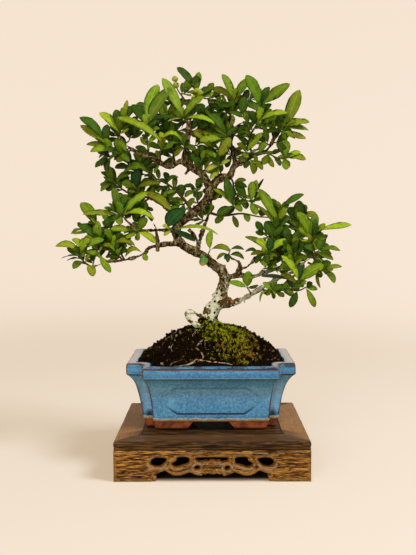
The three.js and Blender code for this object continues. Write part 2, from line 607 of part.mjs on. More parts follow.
// Lower edge and openings of half a front apron, from the foot to the middle
const APRON_EDGE = [
  [-49.8, 0], [-48.6, 3.8], [-51.4, 4.6], [-50.6, 6.4], [-46, 8.3], [-41.3, 8.4], [-37.8, 6.4],
  [-32.8, 5.1], [-27, 6.2], [-20, 8.1], [-15.7, 5.9], [-10.7, 5.1], [-6, 6.4],
];
const APRON_SLOT = [[-13.9, 21.4], [-14.3, 19.2], [-12, 17.6], [-9, 18.6], [-6, 17.4], [-3, 18.5]];
const APRON_EYES = [
  { x: -47, y: 16.8, long: 7.1, high: 4.1, tilt: 0.12 },
  { x: -27.9, y: 17.2, long: 7.4, high: 4.2, tilt: 0.1 },
  { x: -13.2, y: 11.9, long: 1.4, high: 1.4, tilt: 0 },
];

function mirrored(points) {
  return [...points, ...points.map(([x, y]) => [-x, y]).reverse()];
}

function apron(name, length, foot) {
  const squeeze = (length / 2 - foot) / (STAND.width / 2 - FOOT.front);
  const height = STAND.height - STAND.board - CLEARANCE;
  const fit = ([x, y]) => new THREE.Vector2(x * squeeze, y);
  const end = length / 2;
  const outline = [
    new THREE.Vector2(-end, height),
    new THREE.Vector2(-end, 0),
    ...mirrored(APRON_EDGE).map(fit),
    new THREE.Vector2(end, 0),
    new THREE.Vector2(end, height),
  ];
  const face = new THREE.Shape(outline);
  face.holes.push(new THREE.Path(mirrored(APRON_SLOT).map(fit)));
  for (const eye of APRON_EYES) {
    for (const side of [1, -1]) {
      const hole = new THREE.Path();
      const tilt = side * eye.tilt;
      hole.absellipse(side * eye.x * squeeze, eye.y, eye.long * squeeze, eye.high, 0, 2 * Math.PI, false, tilt);
      face.holes.push(hole);
    }
  }
  const settings = { depth: STAND.apron, bevelEnabled: false, curveSegments: 5 };
  const geometry = new THREE.ExtrudeGeometry(face, settings);
  reshape(geometry, (p) => {
    const inward = STAND.apron - p.z;
    const limit = end - CLEARANCE / 2 - inward;
    const x = Math.abs(p.x) > end - 1e-3 ? Math.sign(p.x) * limit : p.x;
    return new THREE.Vector3(x, inward, p.y);
  });
  return named(name, geometry, { color: COLOURS.stand, roughness: 0.6 });
}

function stand() {
  const group = new THREE.Group();
  const top = STAND.height - STAND.board;
  const sides = [
    { side: "front", turn: 0, length: STAND.width, across: STAND.depth, foot: FOOT.front },
    { side: "right", turn: 1, length: STAND.depth, across: STAND.width, foot: FOOT.side },
    { side: "back", turn: 2, length: STAND.width, across: STAND.depth, foot: FOOT.front },
    { side: "left", turn: 3, length: STAND.depth, across: STAND.width, foot: FOOT.side },
  ];
  for (const { side, turn, length, across, foot } of sides) {
    const quarter = new THREE.Group();
    const board = rail("stand_rail_" + side, length);
    board.position.set(0, -across / 2, top);
    const carved = apron("stand_apron_" + side, length, foot);
    carved.position.set(0, -across / 2, 0);
    quarter.add(board, carved);
    quarter.rotation.z = (turn * Math.PI) / 2;
    group.add(quarter);
  }
  const inset = 2 * (STAND.rail + CLEARANCE);
  const panel = new THREE.BoxGeometry(STAND.width - inset, STAND.depth - inset, STAND.board - 1);
  const middle = named("stand_panel", panel, { color: COLOURS.stand, roughness: 0.6 });
  middle.position.z = STAND.height - (STAND.board - 1) / 2;
  group.add(middle);
  return group;
}

// Pot: an oblong with its four corners cut in, lofted from the foot over the lip to the inside

// Outline round one corner: 2 is on the outer side, 1 on the cut-in corner
const POT_CORNER = [[2, 1], [1.35, 1], [1.1, 1.1], [1, 1.35], [1, 2]];

function potOutline() {
  const flip = POT_CORNER.map(([x, y]) => [-y, x]);
  const half = [...POT_CORNER, ...flip];
  return [...half, ...half.map(([x, y]) => [-x, -y])];
}

// Rings as height, distance in from the rim, size of the cut-in corner, and dip of front and back
const POT_OUTSIDE = [
  [8, 16.4, 9.6, 0], [12, 15.8, 9.8, 0], [20, 14.6, 10.4, 0], [31, 12.8, 11.4, 0], [41, 10.4, 12.4, 0],
  [47.5, 7, 13.4, 0.5], [50, 3.4, 14.6, 1], [51.8, 0.8, 15.8, 1.5], [54, 0, 16, 2], [58.5, 0, 16, 2.5],
  [60.4, 0.9, 16, 2.5],
];
const POT_INSIDE = [
  [60.8, 11, 14, 1], [48, 13, 13, 0], [30, 19, 11, 0], [DRAIN.top, 22, 9, 0],
];

function loft(rings) {
  const outline = potOutline();
  const closed = [[rings[0][0]], ...rings, [rings.at(-1)[0]]];
  const profile = closed.map((ring) => new THREE.Vector2(1, ring[0]));
  const geometry = new THREE.LatheGeometry(profile, outline.length);
  return reshape(geometry, (p, i) => {
    const [up, inset, notch, dip] = closed[i % closed.length];
    if (inset === undefined) return new THREE.Vector3(0, 0, up);
    const [x, y] = outline[Math.floor(i / closed.length) % outline.length];
    const spread = (code, half) => Math.sign(code) * (half - inset - notch * (2 - Math.abs(code)));
    const drop = dip * Math.max(0, Math.abs(y) - 1);
    return new THREE.Vector3(spread(x, POT.width / 2), spread(y, POT.depth / 2), up - drop);
  });
}

// A slot right through the foot ring, wider at the bottom
function footChannel(half, length) {
  const opening = new THREE.Shape();
  opening.moveTo(-half - CHANNEL.flare, -1);
  opening.lineTo(half + CHANNEL.flare, -1);
  opening.lineTo(half, POT.foot);
  opening.lineTo(-half, POT.foot);
  const geometry = new THREE.ExtrudeGeometry(opening, { depth: length, bevelEnabled: false });
  return geometry.translate(0, 0, -length / 2).rotateX(Math.PI / 2);
}

function pot() {
  const body = solid(loft([...POT_OUTSIDE, ...POT_INSIDE]));
  const ring = solid(loft([[0, 18.2, 9, 0], [1, 17.4, 9, 0], [POT.foot + 0.5, 16.9, 9.6, 0]]));
  const across = POT.width - 2 * POT.hollow;
  const along = POT.depth - 2 * POT.hollow;
  const hollow = new THREE.BoxGeometry(across, along, 2 * POT.foot);
  const cuts = joined([
    solid(footChannel(CHANNEL.front, 2 * POT.depth)),
    solid(footChannel(CHANNEL.side, 2 * POT.width).rotateZ(Math.PI / 2)),
    solid(hollow),
  ]);
  const drains = [-1, 1].map((side) => {
    const hole = new THREE.CylinderGeometry(DRAIN.width / 2, DRAIN.width / 2, 2 * DRAIN.top, 16);
    return solid(hole.rotateX(Math.PI / 2).translate(side * DRAIN.x, 0, POT.foot));
  });
  const shape = body.add(ring.subtract(cuts)).subtract(joined(drains));
  return piece("pot", shape, { color: COLOURS.glaze, roughness: 0.25 });
}

// Squares of mesh that keep the soil from falling through the drain holes
function drainMesh(side) {
  const sheet = new THREE.BoxGeometry(DRAIN_MESH.side, DRAIN_MESH.side, DRAIN_MESH.thickness);
  const mesh = named("drain_mesh_" + (side < 0 ? "left" : "right"), sheet, { color: COLOURS.mesh });
  mesh.position.set(side * DRAIN.x, 0, DRAIN.top + CLEARANCE + DRAIN_MESH.thickness / 2);
  return mesh;
}

// Soil: the pot's hollow filled and heaped into a mound

function moundHeight(x, y) {
  const across = Math.abs(x / MOUND.halfWidth) ** MOUND.fall;
  const along = Math.abs(y / MOUND.halfDepth) ** MOUND.fall;
  const bumps = Math.sin(x * 0.31 + 1.7) * Math.sin(y * 0.37 + 0.6) + Math.sin(x * 0.13 - y * 0.21);
  const height = MOUND.brim + MOUND.rise * (1 - across - along) + MOUND.bump * bumps;
  return Math.max(height, MOUND.lowest);
}

function soil(holes) {
  const heap = new THREE.BoxGeometry(POT.width, POT.depth, 2, 12, 10, 1);
  reshape(heap, (p) => new THREE.Vector3(p.x, p.y, p.z > 0 ? moundHeight(p.x, p.y) : 0));
  const lining = POT_INSIDE.map(([up, inset, notch]) => [up, inset + CLEARANCE, notch, 0]).reverse();
  lining[0][0] += 2 * CLEARANCE + DRAIN_MESH.thickness;
  const [brim] = lining.slice(-1);
  lining.push([2 * MOUND.brim, ...brim.slice(1)]);
  const shape = solid(heap).intersect(solid(loft(lining))).subtract(holes);
  return piece("soil", shape, { color: COLOURS.soil, roughness: 1 });
}

// Wood: round stems along their middle lines

function stem(points, sides, grow = 0) {
  const middle = points.map(([x, y, z]) => new THREE.Vector3(x, y, z));
  const path = new THREE.CatmullRomCurve3(middle, false, "centripetal");
  const steps = Math.max(2, points.length - 1);
  const { binormals, normals } = path.computeFrenetFrames(steps);
  const geometry = new THREE.CylinderGeometry(1, 1, 1, sides, steps);
  return reshape(geometry, (p) => {
    const row = Math.round((p.y + 0.5) * steps);
    const at = path.getUtoTmapping(row / steps) * (points.length - 1);
    const before = points[Math.floor(at)][3];
    const after = points[Math.ceil(at)][3];
    const radius = (before + (after - before) * (at % 1)) / 2 + grow;
    const out = binormals[row].clone().multiplyScalar(p.x).addScaledVector(normals[row], p.z);
    return path.getPointAt(row / steps).addScaledVector(out, radius);
  });
}

function wood(grow) {
  const stems = Object.values(LIMBS).map((points) => {
    const sides = points[0][3] > 10 ? 10 : points[0][3] > 4.6 ? 7 : 5;
    return solid(stem(points, sides, grow));
  });
  return joined(stems);
}

// Surface roots, as places on the mound with their thickness
const SURFACE_ROOTS = {
  front: [
    [-35, -43, 1], [-28, -44.5, 1.4], [-22, -45, 1.6], [-17, -44, 1.7], [-13.5, -41, 1.5],
    [-6, -41.5, 1.3], [3, -43, 1.3], [11, -44, 1.2], [18, -43.5, 1],
  ],
  middle: [[-8, -10, 1.3], [-12, -16, 1.6], [-11, -22, 1.6], [-7, -28, 1.4], [-6, -33, 1.1]],
};

function rootPath(places) {
  return places.map(([x, y, thick], i) => {
    const sunk = i === 0 || i === places.length - 1 ? -1 : 0.35;
    return [x, y, moundHeight(x, y) + sunk, thick];
  });
}

// Leaves: a blade of two halves folded up at the midrib and arched from stalk to tip, thickest at
// the midrib and thin at the edge

// Outline of a leaf as place along it and half width; a small one has fewer points
const LEAF = [[0, 0], [0.36, 0.46], [0.82, 0.42], [1, 0]];
const SMALL_LEAF = [[0, 0], [0.58, 0.5], [1, 0]];

function blade(outline, length, width, arch, thickness) {
  const rows = outline.length - 1;
  const geometry = new THREE.BoxGeometry(1, 1, thickness, 2, rows, 1);
  return reshape(geometry, (p) => {
    const [along, half] = outline[Math.round((p.y + 0.5) * rows)];
    const across = 2 * p.x * half * width;
    const rise = 4 * arch * length * along * (1 - along) + 0.25 * Math.abs(across);
    const depth = half > 0 ? p.z * (1 - Math.abs(2 * p.x)) : 0;
    return new THREE.Vector3(across, along * length, rise + depth);
  });
}

// Turns a blade: its direction as seen from the front, its lean to the viewer, its roll, its foot
function setBlade(geometry, foot, turn, lean, roll) {
  const a = THREE.MathUtils.degToRad(turn);
  const b = THREE.MathUtils.degToRad(lean);
  const ahead = new THREE.Vector3(Math.cos(a) * Math.cos(b), -Math.sin(b), Math.sin(a) * Math.cos(b));
  const face = new THREE.Vector3(0, -0.75, 0.66);
  face.addScaledVector(ahead, -face.dot(ahead)).normalize();
  face.applyAxisAngle(ahead, THREE.MathUtils.degToRad(roll));
  const side = ahead.clone().cross(face);
  const basis = new THREE.Matrix4().makeBasis(side, ahead, face);
  return geometry.applyMatrix4(basis.setPosition(foot));
}

// The twigs of a spray as curves, and as one solid with its berries
function twigCurve(points) {
  return new THREE.CatmullRomCurve3(points.map((p) => new THREE.Vector3(...p)), false, "centripetal");
}

function twigSolid({ twigs, berries = [] }) {
  const stems = twigs.map((points) => {
    const last = points.length - 1;
    const thickness = (i) => TWIG.thick + ((TWIG.thin - TWIG.thick) * i) / last;
    return solid(stem(points.map((p, i) => [...p, thickness(i)]), 4));
  });
  const balls = berries.map(([x, y, z]) => {
    return solid(new THREE.OctahedronGeometry(BERRY / 2, 1).translate(x, y, z));
  });
  return joined([...stems, ...balls]);
}

// Every leaf of a spray: the named ones, then small ones set round the twig by the golden angle
function leavesOf({ leaves, fill }, seed) {
  const all = leaves.map(([twig, at, turn, length, width, lean, roll, arch]) => {
    return { twig, at, turn, length, width, lean, roll, arch, outline: LEAF };
  });
  for (const [twig, count, size] of fill) {
    for (let i = 0; i < count; i += 1) {
      const n = seed * 31 + i;
      all.push({
        twig,
        at: 0.25 + (0.72 * (i + 0.5)) / count,
        turn: (seed * 77 + i * 137.5) % 360,
        length: size * (0.8 + 0.5 * chance(n)),
        width: size * (0.42 + 0.12 * chance(n + 7)),
        lean: -60 + 75 * chance(n + 13),
        roll: 40 * chance(n + 19) - 20,
        arch: 0.1,
        outline: SMALL_LEAF,
      });
    }
  }
  return all;
}

// Small turns that a leaf may make to lie clear of its neighbours
const NUDGES = [
  [0, 0], [0, 16], [0, -16], [9, 8], [-9, 8], [9, -12], [-9, -12], [0, 32], [0, -32], [16, 24], [-16, 24],
  [16, -28], [-16, -28], [28, 0], [-28, 0], [0, 48], [0, -48], [35, 30], [-35, 30], [35, -35], [-35, -35],
];

function meets(shape, box, others, allowed) {
  return others.some((other) => {
    if (!box.intersectsBox(other.box)) return false;
    return shape.intersect(other.shape).volume() > allowed;
  });
}

function withBox(shape) {
  const { min, max } = shape.boundingBox();
  return { shape, box: new THREE.Box3(new THREE.Vector3(...min), new THREE.Vector3(...max)) };
}

function sprays(grownWood) {
  const names = Object.keys(SPRAYS);
  const twigs = names.map((name) => withBox(twigSolid(SPRAYS[name]).subtract(grownWood)));
  const grown = withBox(grownWood);
  const placed = names.map((name, n) => [twigs[n]]);
  names.forEach((name, n) => {
    const curves = SPRAYS[name].twigs.map(twigCurve);
    const others = placed.filter((list, m) => m !== n).flat();
    for (const leaf of leavesOf(SPRAYS[name], n)) {
      const { outline, length, width, arch, turn, lean, roll } = leaf;
      const foot = curves[leaf.twig].getPointAt(Math.min(leaf.at, 0.99));
      for (const [moreTurn, moreLean] of NUDGES) {
        const put = (shape) => solid(setBlade(shape, foot, turn + moreTurn, lean + moreLean, roll));
        const room = put(blade(outline, length + 0.3, width + 0.6, arch, BLADE + 2 * CLEARANCE));
        const { box } = withBox(room);
        if (meets(room, box, others, 0) || meets(room, box, [grown], 4)) continue;
        const own = withBox(put(blade(outline, length, width, arch, BLADE)));
        if (meets(own.shape, own.box, placed[n].slice(1), 0.4)) continue;
        placed[n].push(own);
        break;
      }
    }
  });
  return names.map((name, n) => {
    const whole = joined(placed[n].map(({ shape }) => shape)).subtract(grownWood);
    return piece("spray_" + name, whole, { color: COLOURS.leaf, roughness: 0.5 });
  });
}

function plant() {
  const group = new THREE.Group();
  const grownWood = wood(CLEARANCE);
  const roots = Object.entries(SURFACE_ROOTS).map(([name, places]) => [name, rootPath(places)]);
  const holes = joined([grownWood, ...roots.map(([, path]) => solid(stem(path, 5, CLEARANCE)))]);
  group.add(soil(holes));
  for (const [name, path] of roots) {
    group.add(piece("surface_root_" + name, solid(stem(path, 5)), { color: COLOURS.bark, roughness: 0.8 }));
  }
  group.add(piece("trunk_and_branches", wood(0), { color: COLOURS.bark, roughness: 0.8 }));
  group.add(...sprays(grownWood));
  return group;
}

// The whole: the stand, and on it the pot with its soil and tree
const bonsai = new THREE.Group();
bonsai.position.x = STAND_X;
const potted = new THREE.Group();
potted.position.set(POT.x, POT.y, STAND.height + CLEARANCE);
potted.add(pot(), drainMesh(-1), drainMesh(1), plant());
bonsai.add(stand(), potted);

export default bonsai;
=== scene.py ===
import math

import bpy
import numpy as np
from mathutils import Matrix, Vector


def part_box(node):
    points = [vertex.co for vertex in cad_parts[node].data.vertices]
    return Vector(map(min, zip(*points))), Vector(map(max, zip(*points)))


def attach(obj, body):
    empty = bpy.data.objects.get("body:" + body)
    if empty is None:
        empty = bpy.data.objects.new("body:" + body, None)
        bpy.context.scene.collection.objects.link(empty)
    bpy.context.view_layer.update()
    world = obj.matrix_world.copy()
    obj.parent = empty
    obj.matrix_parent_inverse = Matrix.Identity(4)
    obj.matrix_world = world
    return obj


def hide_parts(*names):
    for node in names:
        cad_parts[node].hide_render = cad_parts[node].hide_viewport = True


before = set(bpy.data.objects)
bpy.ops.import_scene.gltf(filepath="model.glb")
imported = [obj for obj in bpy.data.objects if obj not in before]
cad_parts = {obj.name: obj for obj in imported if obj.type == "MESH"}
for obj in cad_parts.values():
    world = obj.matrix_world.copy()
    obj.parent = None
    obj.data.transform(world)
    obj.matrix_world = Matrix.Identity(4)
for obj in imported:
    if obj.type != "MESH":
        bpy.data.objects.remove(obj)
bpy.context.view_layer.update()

MM = 0.001

# Studio: a pale round bowl of a room whose floor runs up into its wall without a seam, a large soft
# light high on the right, and a weaker one in front on the left. The room's own wall isn't lit but
# glows a little, away from the object, and lets the even light of the world through.
ROOM = {"radius": 2.6, "height": 3.0, "bend": 1.2}
ROOM_COLOUR = (0.55, 0.56, 0.576)
ROOM_GLOW = {"floor": (0.426, 0.301, 0.169), "wall": (0.602, 0.469, 0.341), "from": 0.5, "to": 1.5}
SKY = {"colour": (1.0, 0.92, 0.80), "strength": 0.26}
LIGHTS = [
    {"name": "key", "place": (1.7, -0.8, 2.1), "size": 1.1, "power": 50, "colour": (1, 0.985, 0.955)},
    {"name": "fill", "place": (-0.7, -2.1, 0.75), "size": 1.5, "power": 27, "colour": (1, 0.98, 0.95)},
]
AIM = (0.0, 0.0, 0.18)
# Painted shadow on the paper under the stand: its middle across, half sizes, soft edge and colour.
STAND_SHADOW = {"middle": 0.009, "half": (0.086, 0.072), "edge": (-0.012, 0.003), "colour": (0.04, 0.03, 0.02)}


def grid_faces(rows, cols, around=False, closed=False):
    """Quads between neighbours of a grid.

    `around` joins the last column to the first, `closed` the last row to the first.
    """
    i = np.arange(rows if closed else rows - 1)[:, None]
    j = np.arange(cols if around else cols - 1)[None, :]
    below, beside = (i + 1) % rows, (j + 1) % cols
    corners = [i * cols + j, i * cols + beside, below * cols + beside, below * cols + j]
    return np.stack(corners, axis=-1).reshape(-1, 4)


def build(name, points, faces, smooth=180, **values):
    """A mesh object from points in metres and lists of faces; `values` are numbers kept at each point."""
    mesh = bpy.data.meshes.new(name)
    groups = faces if isinstance(faces, list) else [faces]
    mesh.from_pydata(np.asarray(points).reshape(-1, 3), [], [face for group in groups for face in group])
    mesh.shade_smooth()
    if smooth < 180:
        mesh.set_sharp_from_angle(angle=math.radians(smooth))
    for key, value in values.items():
        value = np.asarray(value, dtype=np.float32)
        kind, field = ("FLOAT_COLOR", "color") if value.ndim > 1 else ("FLOAT", "value")
        mesh.attributes.new(key, kind, "POINT").data.foreach_set(field, value.ravel())
    mesh.update()
    piece = bpy.data.objects.new(name, mesh)
    bpy.context.collection.objects.link(piece)
    return piece


class Shade:
    """A socket of a material's nodes. Sums and products of such sockets add their Math nodes."""

    def __init__(self, tree, socket):
        self.tree = tree
        self.socket = socket

    def node(self, kind, inputs, out=0, **settings):
        """Adds a node of a kind, makes its settings, fills its sockets and gives its output."""
        made = self.tree.nodes.new("ShaderNode" + kind)
        stops = settings.pop("stops", None)
        for key, value in settings.items():
            setattr(made, key, value)
        for n, (place, colour) in enumerate(stops or []):
            stop = made.color_ramp.elements[n] if n < 2 else made.color_ramp.elements.new(place)
            stop.position, stop.color = place, (*colour, 1)
        for key, value in inputs.items():
            if isinstance(value, Shade):
                self.tree.links.new(value.socket, made.inputs[key])
            else:
                made.inputs[key].default_value = value
        return Shade(self.tree, made.outputs[out])

    def math(self, operation, other=0.0, first=None):
        a, b = (self, other) if first is None else (first, self)
        return self.node("Math", {0: a, 1: b}, operation=operation)

    def __add__(self, other):
        return self.math("ADD", other)

    def __radd__(self, other):
        return self.math("ADD", other)

    def __sub__(self, other):
        return self.math("SUBTRACT", other)

    def __rsub__(self, other):
        return self.math("SUBTRACT", first=other)

    def __mul__(self, other):
        return self.math("MULTIPLY", other)

    def __rmul__(self, other):
        return self.math("MULTIPLY", other)

    def __pow__(self, other):
        return self.math("POWER", other)

    def rise(self, low, high):
        """0 below `low`, 1 above `high` and a smooth step between them."""
        inputs = {"Value": self, "From Min": low, "From Max": high}
        return self.node("MapRange", inputs, interpolation_type="SMOOTHSTEP")

    def mix(self, colour_a, colour_b):
        """`colour_a` where this is 0 and `colour_b` where it is 1."""
        inputs = {0: self, 6: rgba(colour_a), 7: rgba(colour_b)}
        return self.node("Mix", inputs, out=2, data_type="RGBA")

    def tint(self, colour, factor=1.0):
        """This colour multiplied by another one."""
        inputs = {0: factor, 6: self, 7: rgba(colour)}
        return self.node("Mix", inputs, out=2, data_type="RGBA", blend_type="MULTIPLY")

    def ramp(self, *stops):
        return self.node("ValToRGB", {0: self}, stops=stops)

    def stretched(self, scale):
        return self.node("Mapping", {"Vector": self, "Scale": scale})

    def noise(self, scale, detail=3.0, rough=0.55, bend=0.0):
        inputs = {"Vector": self, "Scale": scale, "Detail": detail, "Roughness": rough, "Distortion": bend}
        return self.node("TexNoise", inputs)

    def cells(self, scale, feature="F1"):
        return self.node("TexVoronoi", {"Vector": self, "Scale": scale}, feature=feature)


def rgba(colour):
    """A colour with its alpha, from three numbers; a socket stays as it is."""
    return colour if isinstance(colour, Shade) else (*colour, 1.0)


def surface(name, paint, **fixed):
    """A material: `paint(place, value)` gives its varying sockets, `fixed` the ones that are even all over.

    place is the object's coordinates, value(key) a number kept at each point.
    """
    material = bpy.data.materials.new(name)
    material.use_nodes = True
    tree = material.node_tree
    shader = next(node for node in tree.nodes if node.type == "BSDF_PRINCIPLED")
    start = Shade(tree, None)
    place = start.node("TexCoord", {}, out="Object")

    def value(key, out="Fac"):
        return start.node("Attribute", {}, out=out, attribute_name=key)

    sockets = paint(place, value)
    heights = sockets.pop("height", None)
    if heights:
        height, depth = heights
        sockets["Normal"] = height.node("Bump", {"Height": height, "Distance": depth})
    for key, socket in sockets.items():
        tree.links.new(socket.socket, shader.inputs[key])
    for key, number in fixed.items():
        shader.inputs[key.replace("_", " ")].default_value = number
    return material


def room_rings():
    """Profile of the bowl as radius and height: flat floor, a quarter circle, then the wall and the roof."""
    turn = np.linspace(0, math.pi / 2, 24)
    radius, height, bend = ROOM["radius"], ROOM["height"], ROOM["bend"]
    out = radius - bend + bend * np.sin(turn)
    up = bend - bend * np.cos(turn)
    profile = np.column_stack([out, up])
    floor = np.column_stack([np.linspace(0.001, radius - bend, 8), np.zeros(8)])
    roof = [[radius, height], [0.001, height]]
    return np.vstack([floor[:-1], profile, roof])


rings = room_rings()
angles = np.linspace(0, 2 * math.pi, 96, endpoint=False)
room_points = np.stack(
    [
        rings[:, :1] * np.cos(angles),
        rings[:, :1] * np.sin(angles),
        np.repeat(rings[:, 1:], len(angles), axis=1),
    ],
    axis=-1,
)
room = build("studio_room", room_points, grid_faces(len(rings), len(angles), around=True)[:, ::-1])


def lit_paper(place, value):
    """A painted shadow, dark under the stand, and a glow a little stronger on the wall than on the floor."""
    away = place.node("VectorMath", {0: place}, out="Value", operation="LENGTH")
    glow = away.rise(ROOM_GLOW["from"], ROOM_GLOW["to"]).mix(ROOM_GLOW["floor"], ROOM_GLOW["wall"])
    x, y = (place.node("SeparateXYZ", {"Vector": place}, out=axis) for axis in "XY")
    half_x, half_y = STAND_SHADOW["half"]
    beside = (x - STAND_SHADOW["middle"]).math("ABSOLUTE") - half_x
    open_floor = beside.math("MAXIMUM", y.math("ABSOLUTE") - half_y).rise(*STAND_SHADOW["edge"])
    return {
        "Base Color": open_floor.mix(STAND_SHADOW["colour"], ROOM_COLOUR),
        "Emission Color": open_floor.mix((0, 0, 0), glow),
    }


paper = surface("pale_paper", lit_paper, Roughness=1.0, Specular_IOR_Level=0.0, Emission_Strength=1.0)
room.data.materials.append(paper)
room.visible_diffuse = room.visible_shadow = False

world = bpy.data.worlds.new("soft_room_light")
world.use_nodes = True
sky = next(node for node in world.node_tree.nodes if node.type == "BACKGROUND")
sky.inputs["Color"].default_value = (*SKY["colour"], 1)
sky.inputs["Strength"].default_value = SKY["strength"]
bpy.context.scene.world = world

for light in LIGHTS:
    lamp = bpy.data.lights.new(light["name"], "AREA")
    lamp.shape, lamp.size = "DISK", light["size"]
    lamp.energy, lamp.color = light["power"], light["colour"]
    holder = bpy.data.objects.new(light["name"], lamp)
    towards = np.subtract(AIM, light["place"])
    flat = math.hypot(towards[0], towards[1])
    holder.location = light["place"]
    tilt, heading = math.atan2(towards[2], flat), math.atan2(-towards[0], towards[1])
    holder.rotation_euler = (math.pi / 2 + tilt, 0, heading)
    holder.visible_camera = False
    bpy.context.collection.objects.link(holder)

# Camera: square to the front, a little above the pot's rim, looking slightly down and to the left.
# Its distance and angles come from the perspective of the stand's top in the 416 x 555 photograph.
CAMERA = {"place": (0.0089, -0.699, 0.2192), "down": 3.706, "left": 0.264, "roll": 0.203, "lens": 47.61}

camera = bpy.data.objects.new("camera", bpy.data.cameras.new("camera"))
camera.location = CAMERA["place"]
camera.rotation_euler = np.radians((90 - CAMERA["down"], CAMERA["roll"], CAMERA["left"]))
camera.data.lens = CAMERA["lens"]
camera.data.clip_start = 0.01
bpy.context.collection.objects.link(camera)
bpy.context.scene.camera = camera
bpy.context.scene.view_settings.view_transform = "Standard"

# Stand top: four rails of dark oiled hardwood, mitred round a floating panel. Each rail's edge is
# moulded with two rounded beads over a thin groove. The upper surfaces are painted lighter, as wear and
# as painted sheen: a little on the front and back rails, strongly on the side rails but near their front
# ends.
BEADS = [(0.0, 2.6, 0.6), (2.75, 7.7, 0.8)]
RAIL_PROUD = 0.95
RAIL_ROWS = 90
RAIL_SUNK = 0.12
RAIL_GRAIN = {
    "dark": (0.010, 0.004, 0.001), "plain": (0.042, 0.017, 0.003), "light": (0.17, 0.080, 0.024),
    "coarse": 1.6, "depth": 0.0006, "figured": 0.25,
}
WEAR_AND_SHEEN_WOOD = {"light": (0.42, 0.20, 0.066), "dark": (0.17, 0.075, 0.020)}
PORE_TINT = (0.22, 0.18, 0.15)
FIBRE_SCALE = 560.0


def grained(along, dark, plain, light, coarse, depth, drawn_out=32.0, figured=0.38):
    """Wood whose grain runs along an axis: noise drawn out along it, with fine dark pores.

    The colour goes from dark through plain to light with the grain, and the same grain is the relief.
    """

    def paint(place, value):
        drawn = [FIBRE_SCALE] * 3
        drawn[along] = drawn_out
        fibre = place.stretched(drawn).noise(coarse, 6, 0.62, 0.6)
        figure = place.stretched([n / 9 for n in drawn]).noise(1.0, 3, 0.5, 1.5)
        pores = place.stretched([n * 2.4 for n in drawn]).noise(1.0, 2, 0.6).rise(0.36, 0.24)
        grain = fibre * (1 - figured) + figure * figured
        colour = grain.ramp((0.42, dark), (0.5, plain), (0.59, light))
        # Wear and painted sheen: lighter wood on the rails' upper surfaces, by the number kept at each point.
        worn = (fibre * 0.5 + pores * 0.3).ramp((0.16, WEAR_AND_SHEEN_WOOD["light"]), (0.42, WEAR_AND_SHEEN_WOOD["dark"]))
        colour = value("worn").mix(colour, worn)
        colour = (pores * 0.65).mix(colour, colour.tint(PORE_TINT))
        rough = 0.62 - fibre * 0.25 + pores * 0.2
        return {"Base Color": colour, "Roughness": rough, "height": (grain - pores * 0.2, depth)}

    return paint


def ripple(points, size, seed, waves=14):
    """Smooth unevenness between about -1 and 1: plane waves of near-equal length and any direction, added."""
    draw = np.random.default_rng(seed)
    ways = draw.normal(size=(waves, points.shape[-1]))
    ways /= np.linalg.norm(ways, axis=1)[:, None]
    ways *= (2 * math.pi / size) * draw.uniform(0.6, 1.5, (waves, 1))
    phases = draw.uniform(0, 2 * math.pi, waves)
    return np.sin(points @ ways.T + phases).sum(axis=-1) * math.sqrt(2 / waves)


def rail_profile(width, height):
    """Section of a rail from the inner lower edge round the beads to the inner upper edge.

    A bead is half an ellipse that stands out from a line RAIL_PROUD in from the edge.
    """
    section = [(width, 0.0)]
    for low, high, proud in BEADS:
        turn = np.linspace(0, math.pi, 9)
        middle, reach = (low + high) / 2, (high - low) / 2
        bead = np.column_stack([RAIL_PROUD - proud * np.sin(turn), middle - reach * np.cos(turn)])
        section += [tuple(point) for point in bead]
    section += [(RAIL_PROUD + 0.5, height), (width - 0.5, height), (width, height - 0.5)]
    return np.array(section)


def turned(points, quarter):
    """Points turned by quarters of a turn round the vertical through the origin."""
    x, y, z = np.moveaxis(points, -1, 0)
    cos, sin = round(math.cos(quarter * math.pi / 2)), round(math.sin(quarter * math.pi / 2))
    return np.stack([x * cos - y * sin, x * sin + y * cos, z], axis=-1)


stand_low, stand_high = [np.array(corner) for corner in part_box("stand_rail_front")]
back_high = np.array(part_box("stand_rail_back")[1])
STAND_MIDDLE = np.array([(stand_low[0] + stand_high[0]) / 2, (stand_low[1] + back_high[1]) / 2, 0.0])
STAND_WIDTH = (stand_high[0] - stand_low[0]) / MM
STAND_DEPTH = (back_high[1] - stand_low[1]) / MM
RAIL_WIDTH = (stand_high[1] - stand_low[1]) / MM
RAIL_HEIGHT = (stand_high[2] - stand_low[2]) / MM
RAIL_FLOOR = stand_low[2] / MM
SIDES = [("front", 0, STAND_WIDTH, STAND_DEPTH), ("right", 1, STAND_DEPTH, STAND_WIDTH)]
SIDES += [("back", 2, STAND_WIDTH, STAND_DEPTH), ("left", 3, STAND_DEPTH, STAND_WIDTH)]

